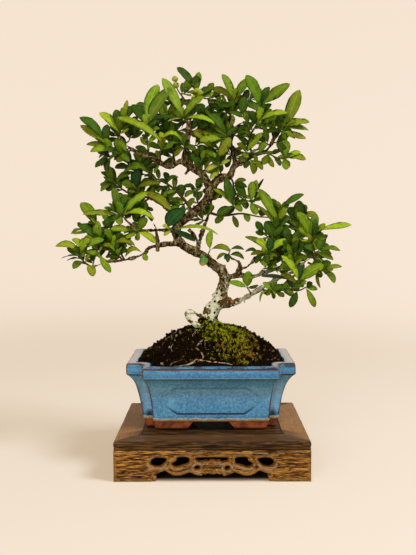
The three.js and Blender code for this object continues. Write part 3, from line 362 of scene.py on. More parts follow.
rail_woods = [
    surface(f"dark_oiled_wood_{axis}", grained(n, **RAIL_GRAIN), Specular_IOR_Level=0.10)
    for n, axis in enumerate("xy")
]
for side, quarter, length, across in SIDES:
    section = rail_profile(RAIL_WIDTH, RAIL_HEIGHT)
    along = np.linspace(-1, 1, RAIL_ROWS)[:, None] * (length / 2 - section[:, 0])
    in_y = np.broadcast_to(section[:, 0] - across / 2, along.shape)
    up = np.broadcast_to(section[:, 1] + RAIL_FLOOR, along.shape)
    shape = turned(np.stack([along, in_y, up], axis=-1), quarter)
    uneven = RAIL_SUNK * ripple(shape, 22, 11 + quarter)
    shape[..., 2] += np.where(section[:, 1] > 1, uneven, 0) - RAIL_SUNK
    upper = np.broadcast_to(section[:, 1] > RAIL_HEIGHT - 0.4, shape.shape[:2])
    # Painted sheen and wear on the tops: strong on the side rails except near their front ends, a little on
    # the front and back rails.
    sheen_from_front = (shape[..., 1] + STAND_DEPTH / 2) / 1.65 - (STAND_WIDTH / 2 - np.abs(shape[..., 0]))
    worn = np.where(upper, np.clip(sheen_from_front / 3 + 0.5, 0.1, 1) if quarter % 2 else 0.15, 0.0)
    near = list(range(len(section)))
    far = list(range(shape[..., 0].size - len(section), shape[..., 0].size))[::-1]
    faces = [grid_faces(RAIL_ROWS, len(section), around=True)[:, ::-1], [near], [far]]
    rail = build(f"rail_{side}", shape * MM + STAND_MIDDLE, faces, smooth=40, worn=worn.ravel())
    rail.data.materials.append(rail_woods[quarter % 2])
    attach(rail, "root")
    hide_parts(f"stand_rail_{side}")

# Stand panel: a flat board of the rails' wood that floats in their grooves, with a gap along both sides
# for its movement. Its middle under the pot is painted nearly black, a painted shade.
PANEL_GAP = 0.8
# Painted shade under the pot: where it starts at the front, its middle, half width and colour.
POT_SHADE = {"from": -0.036, "middle": 0.008, "half": 0.052, "colour": (0.002, 0.0015, 0.001)}
panel_low, panel_high = [np.array(corner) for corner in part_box("stand_panel")]


def panel_with_gap(place, value):
    """The rails' wood, in painted shade nearly black under the pot, and black along the gap on both sides."""
    sockets = grained(0, **RAIL_GRAIN)(place, value)
    middle, half = (panel_low + panel_high) / 2, (panel_high - panel_low) / 2 - PANEL_GAP * MM
    x, y = (place.node("SeparateXYZ", {"Vector": place}, out=axis) for axis in "XY")
    gap = ((x - float(middle[0])).math("ABSOLUTE") - float(half[0])).rise(0.0, 0.0003)
    under = (x - POT_SHADE["middle"]).math("ABSOLUTE").rise(POT_SHADE["half"], POT_SHADE["half"] - 0.006)
    pot_shade = (y - POT_SHADE["from"]).rise(-0.001, 0.0015) * under
    sockets["Base Color"] = gap.math("MAXIMUM", pot_shade).mix(sockets["Base Color"], POT_SHADE["colour"])
    return sockets


panel_wood = surface("panel_wood", panel_with_gap, Specular_IOR_Level=0.08)
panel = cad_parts["stand_panel"]
panel.data.materials.clear()
panel.data.materials.append(panel_wood)

# Stand aprons: four boards under the rails, sawn through with cloud-shaped openings and carved round
# them with raised rims, a scroll bar in the middle and scalloped lower edges between plain block feet.
APRON_EDGE = [
    (-49.8, 0), (-48.6, 3.6), (-48.9, 4.9), (-50.4, 5.2), (-50.5, 6.5), (-47.5, 7.0), (-44.2, 8.4),
    (-41.1, 9.4), (-37.8, 7.0), (-34.5, 5.3), (-31.6, 4.9), (-27.5, 5.1), (-23.2, 6.6), (-19.5, 7.9),
    (-16.0, 6.2), (-12.5, 5.1), (-9.4, 5.0), (-8.6, 6.6), (-6, 6.1), (-3.9, 7.1), (-1.6, 6.2),
]
APRON_HOLES = [
    [(-54.2, 16.4), (-51.8, 20), (-48.2, 20.9), (-43.5, 20.7), (-39.9, 19.8), (-40.9, 17), (-42.9, 14.5),
     (-45.8, 12.8), (-50, 12.5), (-53.2, 13.8)],
    [(-30.8, 20.9), (-31.2, 18.6), (-33.2, 17.2), (-35.4, 15.6), (-34.3, 13), (-30.4, 12.2), (-25.1, 13.6),
     (-21, 15.2), (-19.9, 18), (-20.7, 20.8), (-26, 21.5)],
]
APRON_SLOT = [(-12.1, 21), (-13.9, 18.6), (-12.3, 17), (-8.6, 16.6), (-6.4, 17.9), (-3.4, 17.3), (-1.2, 18.2)]
APRON_PEEP = {"place": (-13.1, 11.7), "radii": (2.7, 2.1)}
APRON = {"thick": 8.0, "cell": 0.72, "top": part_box("stand_apron_front")[1][2] / MM, "carved": 55.0}
APRON_SHAPES = {STAND_WIDTH: 1.0, STAND_DEPTH: 28 / 33}
APRON_GRAIN = {
    "dark": (0.018, 0.005, 0.001), "plain": (0.17, 0.066, 0.009), "light": (0.66, 0.29, 0.052),
    "coarse": 1.7, "depth": 0.0016, "drawn_out": 60.0, "figured": 0.18,
}
# Colours of wear and painted highlight on the carving: golden on the rims, grey on the lower lips.
APRON_WEAR_AND_HIGHLIGHT = {"rim": (0.42, 0.20, 0.05), "lip": (0.42, 0.32, 0.22)}


def mirrored(outline):
    """The left half of an outline joined to its mirror image."""
    return np.array([*outline, *[(-x, y) for x, y in reversed(outline)]])


def curve(corners, steps, closed=False):
    """A Catmull-Rom curve through rows of numbers; `steps` points from each row to the next."""
    rows = np.asarray(corners, float)
    if closed:
        rows = np.vstack([rows[-1:], rows, rows[:2]])
    else:
        rows = np.vstack([2 * rows[:1] - rows[1:2], rows, 2 * rows[-1:] - rows[-2:-1]])
    p0, p1, p2, p3 = (rows[i: len(rows) - 3 + i, None] for i in range(4))
    t = np.linspace(0, 1, steps, endpoint=False)[None, :, None]
    bend = (2 * p0 - 5 * p1 + 4 * p2 - p3) * t**2 + (3 * p1 - p0 - 3 * p2 + p3) * t**3
    points = ((2 * p1 + (p2 - p0) * t + bend) / 2).reshape(-1, rows.shape[1])
    return points if closed else np.vstack([points, rows[-2:-1]])


def distance_to(points, outline):
    """Signed distance from each point to a closed outline: below 0 inside it."""
    a, b = outline, np.roll(outline, -1, axis=0)
    edge, reach = b - a, points[..., None, :] - a
    along = np.clip((reach * edge).sum(-1) / (edge * edge).sum(-1), 0, 1)
    near = np.linalg.norm(reach - along[..., None] * edge, axis=-1).min(-1)
    above = (a[:, 1] > points[..., None, 1]) != (b[:, 1] > points[..., None, 1])
    rise = np.where(edge[:, 1] == 0, 1e-9, edge[:, 1])
    crossing = a[:, 0] + (points[..., None, 1] - a[:, 1]) / rise * edge[:, 0]
    inside = (above & (points[..., None, 0] < crossing)).sum(-1) % 2 == 1
    return np.where(inside, -near, near)


def apron_holes(squeeze):
    """Outlines of the openings, squeezed along the board."""
    turn = np.linspace(0, 2 * math.pi, 20, endpoint=False)
    peep = np.column_stack([np.cos(turn), np.sin(turn)]) * APRON_PEEP["radii"] + APRON_PEEP["place"]
    left = [curve(hole, 5, closed=True) for hole in APRON_HOLES] + [peep]
    holes = left + [hole * (-1, 1) for hole in left] + [curve(mirrored(APRON_SLOT), 4, closed=True)]
    return [hole * (squeeze, 1) for hole in holes]


def apron_mesh(length, squeeze):
    """Front and back of a sawn board on a grid, its border points moved onto the outlines, and its walls.

    The front is carved: rims stand round the openings and along the scallops at full height, the
    ground between them lies 0.9 mm deep, and every edge is rounded.
    """
    end, top = length / 2 - 0.15, APRON["top"]
    outline = np.array([(-end, top), (-end, 0), *(mirrored(APRON_EDGE) * (squeeze, 1)), (end, 0), (end, top)])
    holes = apron_holes(squeeze)
    cols, rows = int(2 * end / APRON["cell"]) + 4, int(top / APRON["cell"]) + 4
    xs = np.linspace(-end - APRON["cell"], end + APRON["cell"], cols)
    zs = np.linspace(-APRON["cell"], top + APRON["cell"], rows)
    flat = np.stack(np.meshgrid(xs, zs), axis=-1)

    def outside(points):
        return np.maximum(distance_to(points, outline), -np.min([distance_to(points, h) for h in holes], 0))

    away = outside(flat)
    slope = np.stack([np.gradient(away, xs, axis=1), np.gradient(away, zs, axis=0)], axis=-1)
    centre = (flat[1:, 1:] + flat[:-1, :-1]) / 2
    kept = grid_faces(rows, cols)[(outside(centre) < 0).ravel()]
    steep = np.maximum(np.linalg.norm(slope, axis=-1, keepdims=True), 0.3)
    used, counts = np.unique(kept, return_counts=True)
    border = np.zeros(rows * cols, bool)
    border[used[counts < 4]] = True
    border = border.reshape(rows, cols)
    moved = np.where(border[..., None], flat - away[..., None] * slope / steep**2, flat)
    moved = np.clip(moved, (-end, 0), (end, top)).reshape(-1, 2)
    depth = -outside(moved)
    depth[border.ravel()] = 0
    near_hole = np.min([distance_to(moved, h) for h in holes], 0)
    near_edge = np.abs(distance_to(moved, outline)) + 40 * (moved[:, 1] > top - 8)
    rim = np.minimum(near_hole, near_edge)
    x, z = moved[:, 0] / squeeze, moved[:, 1]
    carved = np.clip((APRON["carved"] - np.abs(x) + 2 * np.sin(z * 0.5)) / 2.5, 0, 1)
    carved *= np.clip((23.6 - z) / 1.2, 0, 1)
    ridge = np.clip(1 - ((rim - 1.5) / 1.6) ** 2, 0, 1)
    scroll = (np.abs(x) < 12) & (z < 17.5)
    curls = 0.5 + 0.5 * np.sin(x * 1.9 + 0.8 * np.sin(z * 1.3)) * np.sin(z * 1.5 + 0.6)
    lift = np.where(scroll, 0.85 * curls + 0.15 * ridge, ridge)
    bead = np.clip(1 - ((z - top + 2.0) / 0.95) ** 2, 0, 1)
    sunk = 0.25 + 1.25 * carved * (1 - lift) - 0.25 * bead
    sunk += 0.55 * np.clip(1 - depth / 0.8, 0, 1) ** 2
    solid = np.column_stack([moved[:, 0], sunk, z])
    sunk_back = 0.4 * np.clip(1 - depth / 0.8, 0, 1) ** 2
    limit = end - APRON["thick"] + 0.15
    inner = APRON["carved"] * squeeze
    pulled = np.abs(moved[:, 0])
    pulled = np.where(pulled < inner, pulled, inner + (pulled - inner) * (limit - inner) / (end - inner))
    back = np.column_stack([np.sign(moved[:, 0]) * pulled, APRON["thick"] - sunk_back, z])
    edges = np.stack([kept, np.roll(kept, -1, axis=1)], axis=-1).reshape(-1, 2)
    keys = edges[:, 0] * (rows * cols) + edges[:, 1]
    mirror = edges[:, 1] * (rows * cols) + edges[:, 0]
    rim_edges = edges[~np.isin(keys, mirror)]
    total = rows * cols
    one, two = rim_edges.T
    walls = np.column_stack([two, one, one + total, two + total])
    points = np.vstack([solid, back])
    faces = np.vstack([kept, kept[:, ::-1] + total, walls])
    used, index = np.unique(faces, return_inverse=True)
    # Wear and painted highlight: golden along the rims, grey on the lower lips of the openings and on the top
    # bead.
    golden = np.clip(1.3 - np.abs(rim - 1.4) / 1.5, 0, 1)
    below = near_hole + np.where(z < 16.2, 0, 9)
    grey = np.clip(1.4 - np.abs(below - 1.8) / 0.9, 0, 1)
    grey = np.maximum(grey, 0.8 * np.clip(1.2 - np.abs(z - top + 2.0) / 0.7, 0, 1))
    return points[used], index.reshape(faces.shape), np.tile(golden, 2)[used], np.tile(grey, 2)[used]


def carved_wood(along):
    """Golden brown wood with strong dark grain lines, and wear with painted highlight: lighter and golden on
    the raised rims, grey on the lower lips of the openings and along the top bead.
    """
    base = grained(along, **APRON_GRAIN)

    def paint(place, value):
        sockets = base(place, value)
        patch = place.noise(300, 4, 0.6)
        rim, lip = value("rim") * patch.rise(0.3, 0.6) * 0.75, value("lip") * patch.rise(0.42, 0.56) * 0.65
        sockets["Base Color"] = rim.mix(sockets["Base Color"], APRON_WEAR_AND_HIGHLIGHT["rim"])
        sockets["Base Color"] = lip.mix(sockets["Base Color"], APRON_WEAR_AND_HIGHLIGHT["lip"])
        return sockets

    return paint


apron_woods = [
    surface(f"golden_carved_wood_{axis}", carved_wood(n), Specular_IOR_Level=0.10)
    for n, axis in enumerate("xy")
]
for side, quarter, length, across in SIDES:
    points, faces, golden, grey = apron_mesh(length, APRON_SHAPES[length])
    points[:, 1] -= across / 2
    points = turned(points, quarter)
    points, plain = points * MM + STAND_MIDDLE, np.zeros(len(points))
    apron = build(f"apron_{side}", points, faces, smooth=50, rim=golden, lip=grey, worn=plain)
    apron.data.materials.append(apron_woods[quarter % 2])
    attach(apron, "root")
    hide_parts(f"stand_apron_{side}")

# Pot: a moulded oblong of stoneware with cut-in corners, a heavy lip, and an incised panel on each
# side. The blue glaze was poured over it and broke to brown along the edges; the feet stay bare clay.
POT_OUTSIDE = [
    (6.9, 15.6, 9.6, 0), (8, 15.0, 9.6, 0), (12, 14.3, 9.8, 0), (20, 13.0, 10.4, 0), (31, 10.8, 11.4, 0),
    (40, 8.2, 12.3, 0), (44.8, 5.6, 13.3, 0.3), (47.4, 3.6, 14.2, 0.7), (48.9, 2.0, 15, 1.1),
    (49.6, 0.9, 15.6, 1.4), (50.4, 0.2, 15.9, 1.6), (52, 0, 16, 1.8), (58.6, 0, 16, 2.5),
    (59.9, 0.35, 16, 2.5), (60.4, 1.3, 16, 2.5),
]
POT_INSIDE = [
    (60.8, 3.2, 15.6, 2.2), (60.9, 7.8, 14.4, 1.2), (60.3, 8.9, 14, 1), (58, 9.4, 13.7, 0.8),
    (48, 11.5, 13, 0), (30, 18, 11, 0), (14, 22, 9, 0), (7.4, 23, 9, 0),
]
PANELS = {
    "top": 38.7, "bottom": 14.2, "flat": 0.565, "reach": 0.77, "chamfer": 8.0, "wide": 0.95, "deep": 0.4,
}
FRONT_SHARE = 0.85
POT_ARRIS = 1.5
DRAIN = {"x": 25.0, "radius": 6.0}
FLOOR = {"top": 14.0, "under": 8.2, "reaches": [(57.0, 33.5), (50.0, 41.5)], "points": 96}
FEET = {"front": 15.0, "side": 12.0, "flare": 7.5, "top": 8.6}
FOOT_SECTION = [
    (0.9, 17.6, 12.6), (0, 18.4, 13.4), (0, 31, 27), (0.5, 31.4, 27.4), (7.6, 31.4, 27.4), (7.6, 15.8, 13.3),
    (5.2, 15.9, 13.0), (2.4, 16.8, 12.5),
]
# In GLAZE, thin is the colour of a painted reflection of the room on the rim's top.
GLAZE = {
    "pale": (0.165, 0.45, 0.68), "blue": (0.062, 0.235, 0.45), "thin": (0.31, 0.30, 0.26),
    "deep": (0.004, 0.020, 0.06), "green": (0.085, 0.19, 0.20), "brown": (0.060, 0.024, 0.010),
    "cream": (0.52, 0.52, 0.36), "ochre": (0.36, 0.19, 0.045), "hollow_highlight": (0.45, 0.52, 0.52),
    "clay": (0.27, 0.060, 0.013), "dark_clay": (0.09, 0.022, 0.006),
}


def along_path(points, count, measured=2):
    """`count` rows spaced evenly along a path of rows, by length over their first `measured` numbers."""
    steps = np.linalg.norm(np.diff(points[:, :measured], axis=0), axis=1)
    length = np.concatenate([[0], np.cumsum(steps)])
    places = length[-1] * np.linspace(0, 1, count)
    return np.column_stack([np.interp(places, length, column) for column in points.T])


def pot_outline(half_x, half_y, notch):
    """Plan of the pot at each ring, from the middle of the right side round to the middle of the front.

    A side, a rounded arris, a step in, a quarter circle hollow and the same back out to the front.
    """
    quarter = np.linspace(0, math.pi / 2, 7)
    hollow = np.linspace(-math.pi / 2, -math.pi, 8)
    side = np.linspace(0, 1, 44)[:-1]
    front = np.linspace(0, 1, 70)[1:]
    r = POT_ARRIS
    step = 0.35 * notch
    bend = (half_x - notch + step, half_y - notch + step)
    one = np.ones_like
    x = [
        half_x * one(side), half_x - r + r * np.cos(quarter), bend[0] + step * np.cos(hollow),
        half_x - notch - r + r * np.cos(quarter), (half_x - notch - r) * (1 - front),
    ]
    y = [
        (half_y - notch - r) * side, half_y - notch - r + r * np.sin(quarter),
        bend[1] + step * np.sin(hollow), half_y - r + r * np.sin(quarter), half_y * one(front),
    ]
    return np.stack([np.concatenate(x, axis=-1), np.concatenate(y, axis=-1)], axis=-1)


def whole_outline(corner):
    """A corner's outline carried on round all four corners by mirroring."""
    back = corner[:, ::-1][:, 1:]
    half = np.concatenate([corner, back * (-1, 1)], axis=1)
    other = half[:, ::-1][:, 1:-1] * (1, -1)
    return np.concatenate([half, other], axis=1)


def pot_rings(rings):
    """Points of the pot's wall from rings of height, inset, notch and dip, and each ring's outline.

    The front and back lean in less than the ends, by FRONT_SHARE.
    """
    half_x = POT_HALF[0] - rings[:, 1:2]
    half_y = POT_HALF[1] - rings[:, 1:2] * FRONT_SHARE
    plan = whole_outline(pot_outline(half_x, half_y, rings[:, 2:3]))
    beyond = np.clip((np.abs(plan[..., 1]) - half_y + rings[:, 2:3]) / rings[:, 2:3], 0, 1)
    up = rings[:, :1] - rings[:, 3:4] * beyond
    return np.concatenate([plan, up[..., None]], axis=-1)


def panel_distance(across, up, half):
    """Distance to the edge of an eight-sided panel on a wall, below 0 inside it."""
    middle = (PANELS["top"] + PANELS["bottom"]) / 2
    tall = (PANELS["top"] - PANELS["bottom"]) / 2
    x, z = np.abs(across), np.abs(up - middle)
    end, flat = half * PANELS["reach"], half * PANELS["flat"]
    cut = PANELS["chamfer"]
    slanted = ((x - flat) * cut + (z - tall) * (end - flat)) / np.hypot(cut, end - flat)
    return np.maximum.reduce([x - end, z - tall, slanted])


pot_low, pot_high = [np.array(corner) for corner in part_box("pot")]
POT_HALF = (pot_high[:2] - pot_low[:2]) / 2 / MM
POT_ORIGIN = np.array([*(pot_low[:2] + pot_high[:2]) / 2, pot_low[2]])

outside = along_path(curve(POT_OUTSIDE, 8), 88)
inside = along_path(curve(POT_INSIDE, 5), 30)
pot_profile = np.vstack([outside, inside])
wall = pot_rings(pot_profile)
is_outer = (np.arange(len(pot_profile)) < len(outside))[:, None]
hx = POT_HALF[0] - pot_profile[:, 1:2]
hy = POT_HALF[1] - pot_profile[:, 1:2] * FRONT_SHARE
notch = pot_profile[:, 2:3]
on_front = np.abs(wall[..., 1]) > hy - 0.02
on_side = np.abs(wall[..., 0]) > hx - 0.02
front_panel = panel_distance(wall[..., 0], wall[..., 2], hx - notch)
side_panel = panel_distance(wall[..., 1], wall[..., 2], hy - notch)
far_away = 9.0
panel_edge = np.where(on_front, front_panel, np.where(on_side, side_panel, far_away))
panel_edge = np.where(is_outer, panel_edge, far_away)
groove = np.exp(-((panel_edge / PANELS["wide"]) ** 2)) + 0.35 * (panel_edge < 0) * np.clip(-panel_edge, 0, 1)
wall[..., 1] -= np.where(on_front, np.sign(wall[..., 1]) * PANELS["deep"] * groove, 0)
wall[..., 0] -= np.where(on_side & ~on_front, np.sign(wall[..., 0]) * PANELS["deep"] * groove, 0)
uneven = 0.16 * ripple(wall, 26, 5)
wall[..., :2] *= 1 - (uneven / 70)[..., None]

ax, ay = np.abs(wall[..., 0]), np.abs(wall[..., 1])
arris = np.minimum(np.hypot(ax - hx, ay - hy + notch), np.hypot(ax - hx + notch, ay - hy))
corner_dist = np.hypot(ax - (hx - 0.82 * notch), ay - (hy - 0.82 * notch))
level = np.broadcast_to(pot_profile[:, :1], wall.shape[:2])
inset = np.broadcast_to(pot_profile[:, 1:2], wall.shape[:2])
lip = np.exp(-(((level - 59.9) / 0.8) ** 2)) * (inset < 2.4)
under = np.exp(-(((level - 49.9) / 0.75) ** 2)) * (inset < 3) * 0.9
inner = np.exp(-(((level - 60.6) / 0.45) ** 2)) * (np.abs(inset - 8.6) < 0.9) * 0.7
corner = np.exp(-((arris / np.where(level > 48, 1.2, 1.5)) ** 2)) * np.where(level > 10, 1, 0.5)
edge = np.maximum.reduce([corner, lip, under, inner])
edge = np.where(is_outer | (lip > 0.02) | (inner > 0.02), edge, 0)
pooled = np.exp(-((corner_dist / 6) ** 2)) * np.exp(-(((level - 12) / 5) ** 2)) * is_outer
line_depth = np.interp(level, [15.5, 22.5, 35, 38], [1, 0.2, 0.15, 0.42])
pooled = np.maximum(pooled, np.exp(-((panel_edge / 1.15) ** 2)) * line_depth)
# Painted highlight: a pale streak down the middle of each hollow, where the gloss catches the light.
hollow = np.exp(-((np.hypot(ax - hx + 0.6 * notch, ay - hy + 0.9 * notch) / 1.6) ** 2))
hollow *= np.interp(level, [13, 20, 40, 46], [0, 1, 1, 0]) * is_outer
# Painted reflection of the room on the rim's top, at its ends and corners, kept as the number thin.
rim_top_reflection = ((level > 60.35) & (inset > 1)).astype(float) * (on_side | (ax > hx - notch))
bare = np.clip((20 - level) / 3, 0, 1) * ~is_outer

wall_faces = grid_faces(*wall.shape[:2], around=True, closed=True)


def floor_half(sign):
    """Half the floor of the pot: a plate round one drain hole, out into the wall, closed through the hole."""
    angle = np.linspace(0, 2 * math.pi, FLOOR["points"], endpoint=False)
    ways = np.stack([np.cos(angle), np.sin(angle)], axis=-1)
    over = np.maximum(np.abs(ways), 1e-6)
    to_end = [np.where(ways[:, 0] > 0, x - DRAIN["x"], DRAIN["x"] + 0.5) for x, _ in FLOOR["reaches"]]
    reaches = [np.minimum(x / over[:, 0], y / over[:, 1]) for x, (_, y) in zip(to_end, FLOOR["reaches"])]
    reach, hole = np.maximum(*reaches)[:, None], DRAIN["radius"]
    rows = [(reach, FLOOR["top"]), (hole, FLOOR["top"]), (hole, FLOOR["under"]), (reach, FLOOR["under"])]
    points = [np.column_stack([ways * out, np.full(len(angle), up)]) for out, up in rows]
    points = np.array(points) + (DRAIN["x"], 0, 0)
    return points[:, ::-1] * (-1, 1, 1) if sign < 0 else points


def foot(sign_x, sign_y):
    """One foot: a section of outer wall, base and inner wall carried round the corner between channels.

    The section's rows are height, how far in at the ends and how far in at the front; the foot's ends
    flare out towards the ground.
    """
    rows = []
    for up, in_x, in_y in FOOT_SECTION:
        cut_in = 9.4 if in_x < 25 else 3.0
        sizes = (POT_HALF[0] - in_x, POT_HALF[1] - in_y, cut_in)
        plan = pot_outline(*(np.full((1, 1), size) for size in sizes))[0]
        spread = FEET["flare"] * (1 - up / FEET["top"])
        start, stop = FEET["side"] + spread, FEET["front"] + spread
        keep = (plan[:, 1] > start) & (plan[:, 0] > stop)
        path = np.vstack([[plan[0, 0], start], plan[keep], [stop, plan[-1, 1]]])
        path = along_path(path, 56)
        rows.append(np.column_stack([path, np.full(len(path), up)]))
    points = np.array(rows) * (sign_x, sign_y, 1)
    return points if sign_x * sign_y > 0 else points[:, ::-1]


pieces = [(wall, wall_faces)]
for sign in (1, -1):
    pieces.append((floor_half(sign), grid_faces(4, FLOOR["points"], around=True, closed=True)))
for sign_x in (1, -1):
    for sign_y in (1, -1):
        block = foot(sign_x, sign_y)
        k, m = block.shape[:2]
        first, last = [i * m for i in range(k)][::-1], [i * m + m - 1 for i in range(k)]
        pieces.append((block, [grid_faces(k, m, closed=True)[:, ::-1], [first, last]]))


def joined(parts):
    """Several grids of points and their faces as one list of points and one list of groups of faces."""
    points, faces, start = [], [], 0
    for part, groups in parts:
        part = np.asarray(part).reshape(-1, 3)
        for group in groups if isinstance(groups, list) else [groups]:
            grid = isinstance(group, np.ndarray)
            faces.append(group + start if grid else [[v + start for v in face] for face in group])
        points.append(part)
        start += len(part)
    return np.vstack(points), faces


pot_points, pot_faces = joined(pieces)
extra = len(pot_points) - wall[..., 0].size


def padded_value(values, rest):
    """Numbers of the wall's points, and one number for all points of the floor and the feet."""
    return np.concatenate([np.asarray(values, float).ravel(), np.full(extra, float(rest))])


def glazed(place, value):
    """Speckled blue glaze: deeper where it pooled, brown on edges, clay below. Painted light on it: a duller,
    greener band under the lip and a grey top on the rim at its ends and corners are painted reflections; a
    lighter middle of the rim's band and a pale streak in each hollow are painted highlights.
    """
    height = place.node("SeparateXYZ", {"Vector": place}, out="Z") * 1000 - POT_ORIGIN[2] * 1000
    cloud = place.noise(45, 4)
    speck = place.noise(1100, 2, 0.6)
    fine = place.noise(450, 3, 0.7)
    colour = (cloud * 0.35 + fine * 0.65).ramp((0.40, GLAZE["blue"]), (0.60, GLAZE["pale"]))
    colour = speck.rise(0.55, 0.68).mix(colour, colour.tint((1.45, 1.34, 1.26)))
    colour = speck.rise(0.45, 0.34).mix(colour, colour.tint((0.45, 0.54, 0.62)))
    # Painted reflection: a duller, greener band under the lip.
    reflected_band = (height + (cloud - 0.5) * 14.0).rise(29.0, 33.5) * (1 - height.rise(49.0, 51.5))
    dull = colour.tint((1.05, 0.86, 0.68))
    greenish = dull.node("Mix", {0: 0.35, 6: dull, 7: rgba(GLAZE["green"])}, out=2, data_type="RGBA")
    colour = (reflected_band * 0.75).mix(colour, greenish)
    band = height.rise(49.4, 50.4) * height.rise(60.3, 60.0)
    streak = height.rise(55.6, 57.6) * place.stretched((1, 1, 2.5)).noise(90, 4, 0.65).rise(0.44, 0.52)
    # Painted highlight along the middle of the rim's band.
    shine = height.rise(52.5, 54.5) * height.rise(57.5, 55.5)
    colour = band.mix(colour, colour.tint((0.48, 0.60, 0.68)))
    colour = (band * shine * 0.7).mix(colour, colour.tint((1.5, 1.42, 1.36)))
    colour = (band * streak * 0.8).mix(colour, GLAZE["deep"])
    # Painted reflection: warm grey on the rim's top, by the number thin.
    colour = (value("thin") * 0.75).mix(colour, GLAZE["thin"])
    # Painted highlight: a pale streak in each hollow.
    colour = (value("hollow") * 0.6).mix(colour, GLAZE["hollow_highlight"])
    colour = (value("pooled").rise(0.1, 0.8) * 0.92).mix(colour, GLAZE["deep"])
    line = value("edge") * (0.40 + place.noise(260, 2) * 0.9)
    colour = line.rise(0.26, 0.55).mix(colour, GLAZE["brown"])
    drip = (place.noise(120, 3, 0.6) - 0.5) * 4.5
    low = height + drip
    colour = (low.rise(14, 10.5) * 0.75).mix(colour, colour.tint((0.42, 0.66, 0.78)))
    flow = low.rise(10.9, 9.9) * place.noise(350, 3, 0.7).rise(0.34, 0.50)
    colour = (flow * 0.85).mix(colour, GLAZE["cream"])
    colour = (low.rise(9.2, 8.4) * 0.9).mix(colour, GLAZE["ochre"])
    bare = value("bare").rise(0.3, 0.7).math("MAXIMUM", (height + drip * 0.35).rise(7.9, 7.3))
    return {
        "Base Color": bare.mix(colour, GLAZE["clay"]),
        "Roughness": 0.20 + bare * 0.34 + (fine - 0.5) * 0.12,
        "height": (fine * 0.25 + cloud * 0.75, 0.00022),
    }


def bare_clay(place, value):
    """Unglazed stoneware fired red, with dark smoky patches, and darker along its lowest 2 mm."""
    height = place.node("SeparateXYZ", {"Vector": place}, out="Z") * 1000 - POT_ORIGIN[2] * 1000
    smoke = place.noise(150, 4, 0.65)
    colour = smoke.ramp((0.40, GLAZE["dark_clay"]), (0.58, GLAZE["clay"]))
    colour = (height.rise(2.2, 0.4) * 0.85).mix(colour, colour.tint((0.25, 0.2, 0.2)))
    grit = place.noise(900, 3, 0.6)
    return {"Base Color": colour, "Roughness": 0.75 - smoke * 0.3, "height": (grit, 0.0004)}


glaze = surface("blue_glaze", glazed, IOR=1.45, Coat_Weight=0.06, Coat_Roughness=0.08)
# The number thin carries the painted reflection on the rim's top, hollow the painted highlight in the
# hollows.
pot = build(
    "glazed_pot", pot_points * MM + POT_ORIGIN, pot_faces, smooth=50,
    edge=padded_value(edge, 0), pooled=padded_value(pooled, 0), bare=padded_value(np.clip(bare, 0, 1), 1),
    thin=padded_value(rim_top_reflection, 0), hollow=padded_value(hollow, 0),
)
pot.data.materials.append(glaze)
pot.data.materials.append(surface("bare_red_clay", bare_clay, Specular_IOR_Level=0.15))
glazed_faces = len(wall_faces) + 2 * 4 * FLOOR["points"]
is_clay = np.arange(len(pot.data.polygons)) >= glazed_faces
pot.data.polygons.foreach_set("material_index", is_clay.astype(np.int32))
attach(pot, "root")
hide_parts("pot")

# Drainage nets: two squares of black plastic net, laid over the holes in the floor before the soil.
NET = {"cells": 600, "strand": (0.02, 0.02, 0.02), "hole": (0.004, 0.004, 0.004)}


def netted(place, value):
    """Black strands between darker holes, raised a little."""
    cells = place.cells(NET["cells"], "DISTANCE_TO_EDGE")
    return {"Base Color": cells.rise(0.05, 0.12).mix(NET["strand"], NET["hole"]), "height": (cells, 0.0004)}


mesh_sheet = surface("black_plastic_net", netted, Roughness=0.5)
for name in ("drain_mesh_left", "drain_mesh_right"):
    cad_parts[name].data.materials.clear()
    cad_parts[name].data.materials.append(mesh_sheet)

# Soil: dark crumbly potting mix heaped over the brim and watered down, with grit and bits of bark. It
# fills the lining to the pot's floor.
MOUND = {
    "brim": 57.0, "rise": 33.0, "half_width": 69.5, "half_depth": 49.5, "fall": 2.35, "right": 1.2,
    "lowest": 55.5,
}
COLLAR = {"place": (-3.6, -1.0), "rise": 8.6, "radius": 9.8}
BANK = {"left": -66.0, "rise": 3.5, "width": 5.0}
SOIL_GAP = 0.35
GRAINS = {"count": 5120, "size": 1.45, "reach": (65, 46.5), "seed": 8}
SOIL = {
    "dark": (0.002, 0.0014, 0.0006), "brown": (0.024, 0.012, 0.003), "bark": (0.16, 0.075, 0.020),
    "grit": (0.30, 0.24, 0.15),
}


def mound_height(x, y):
    """Height of the heap.

    A dome that falls off by a power, slow bumps, a collar round the trunk and a bank along the left side.
    """
    fall = np.abs((x - MOUND["right"]) / MOUND["half_width"]) ** MOUND["fall"]
    fall = fall + np.abs(y / MOUND["half_depth"]) ** MOUND["fall"]
    bumps = 0.7 * (np.sin(x * 0.31 + 1.7) * np.sin(y * 0.37 + 0.6) + np.sin(x * 0.13 - y * 0.21))
    from_trunk = np.hypot(x - COLLAR["place"][0], y - COLLAR["place"][1]) / COLLAR["radius"]
    collar = COLLAR["rise"] * np.exp(-(from_trunk**4))
    bank = BANK["rise"] * np.exp(-(((x - BANK["left"]) / BANK["width"]) ** 2))
    return np.maximum(MOUND["brim"] + MOUND["rise"] * (1 - fall) + bumps, MOUND["lowest"]) + collar + bank


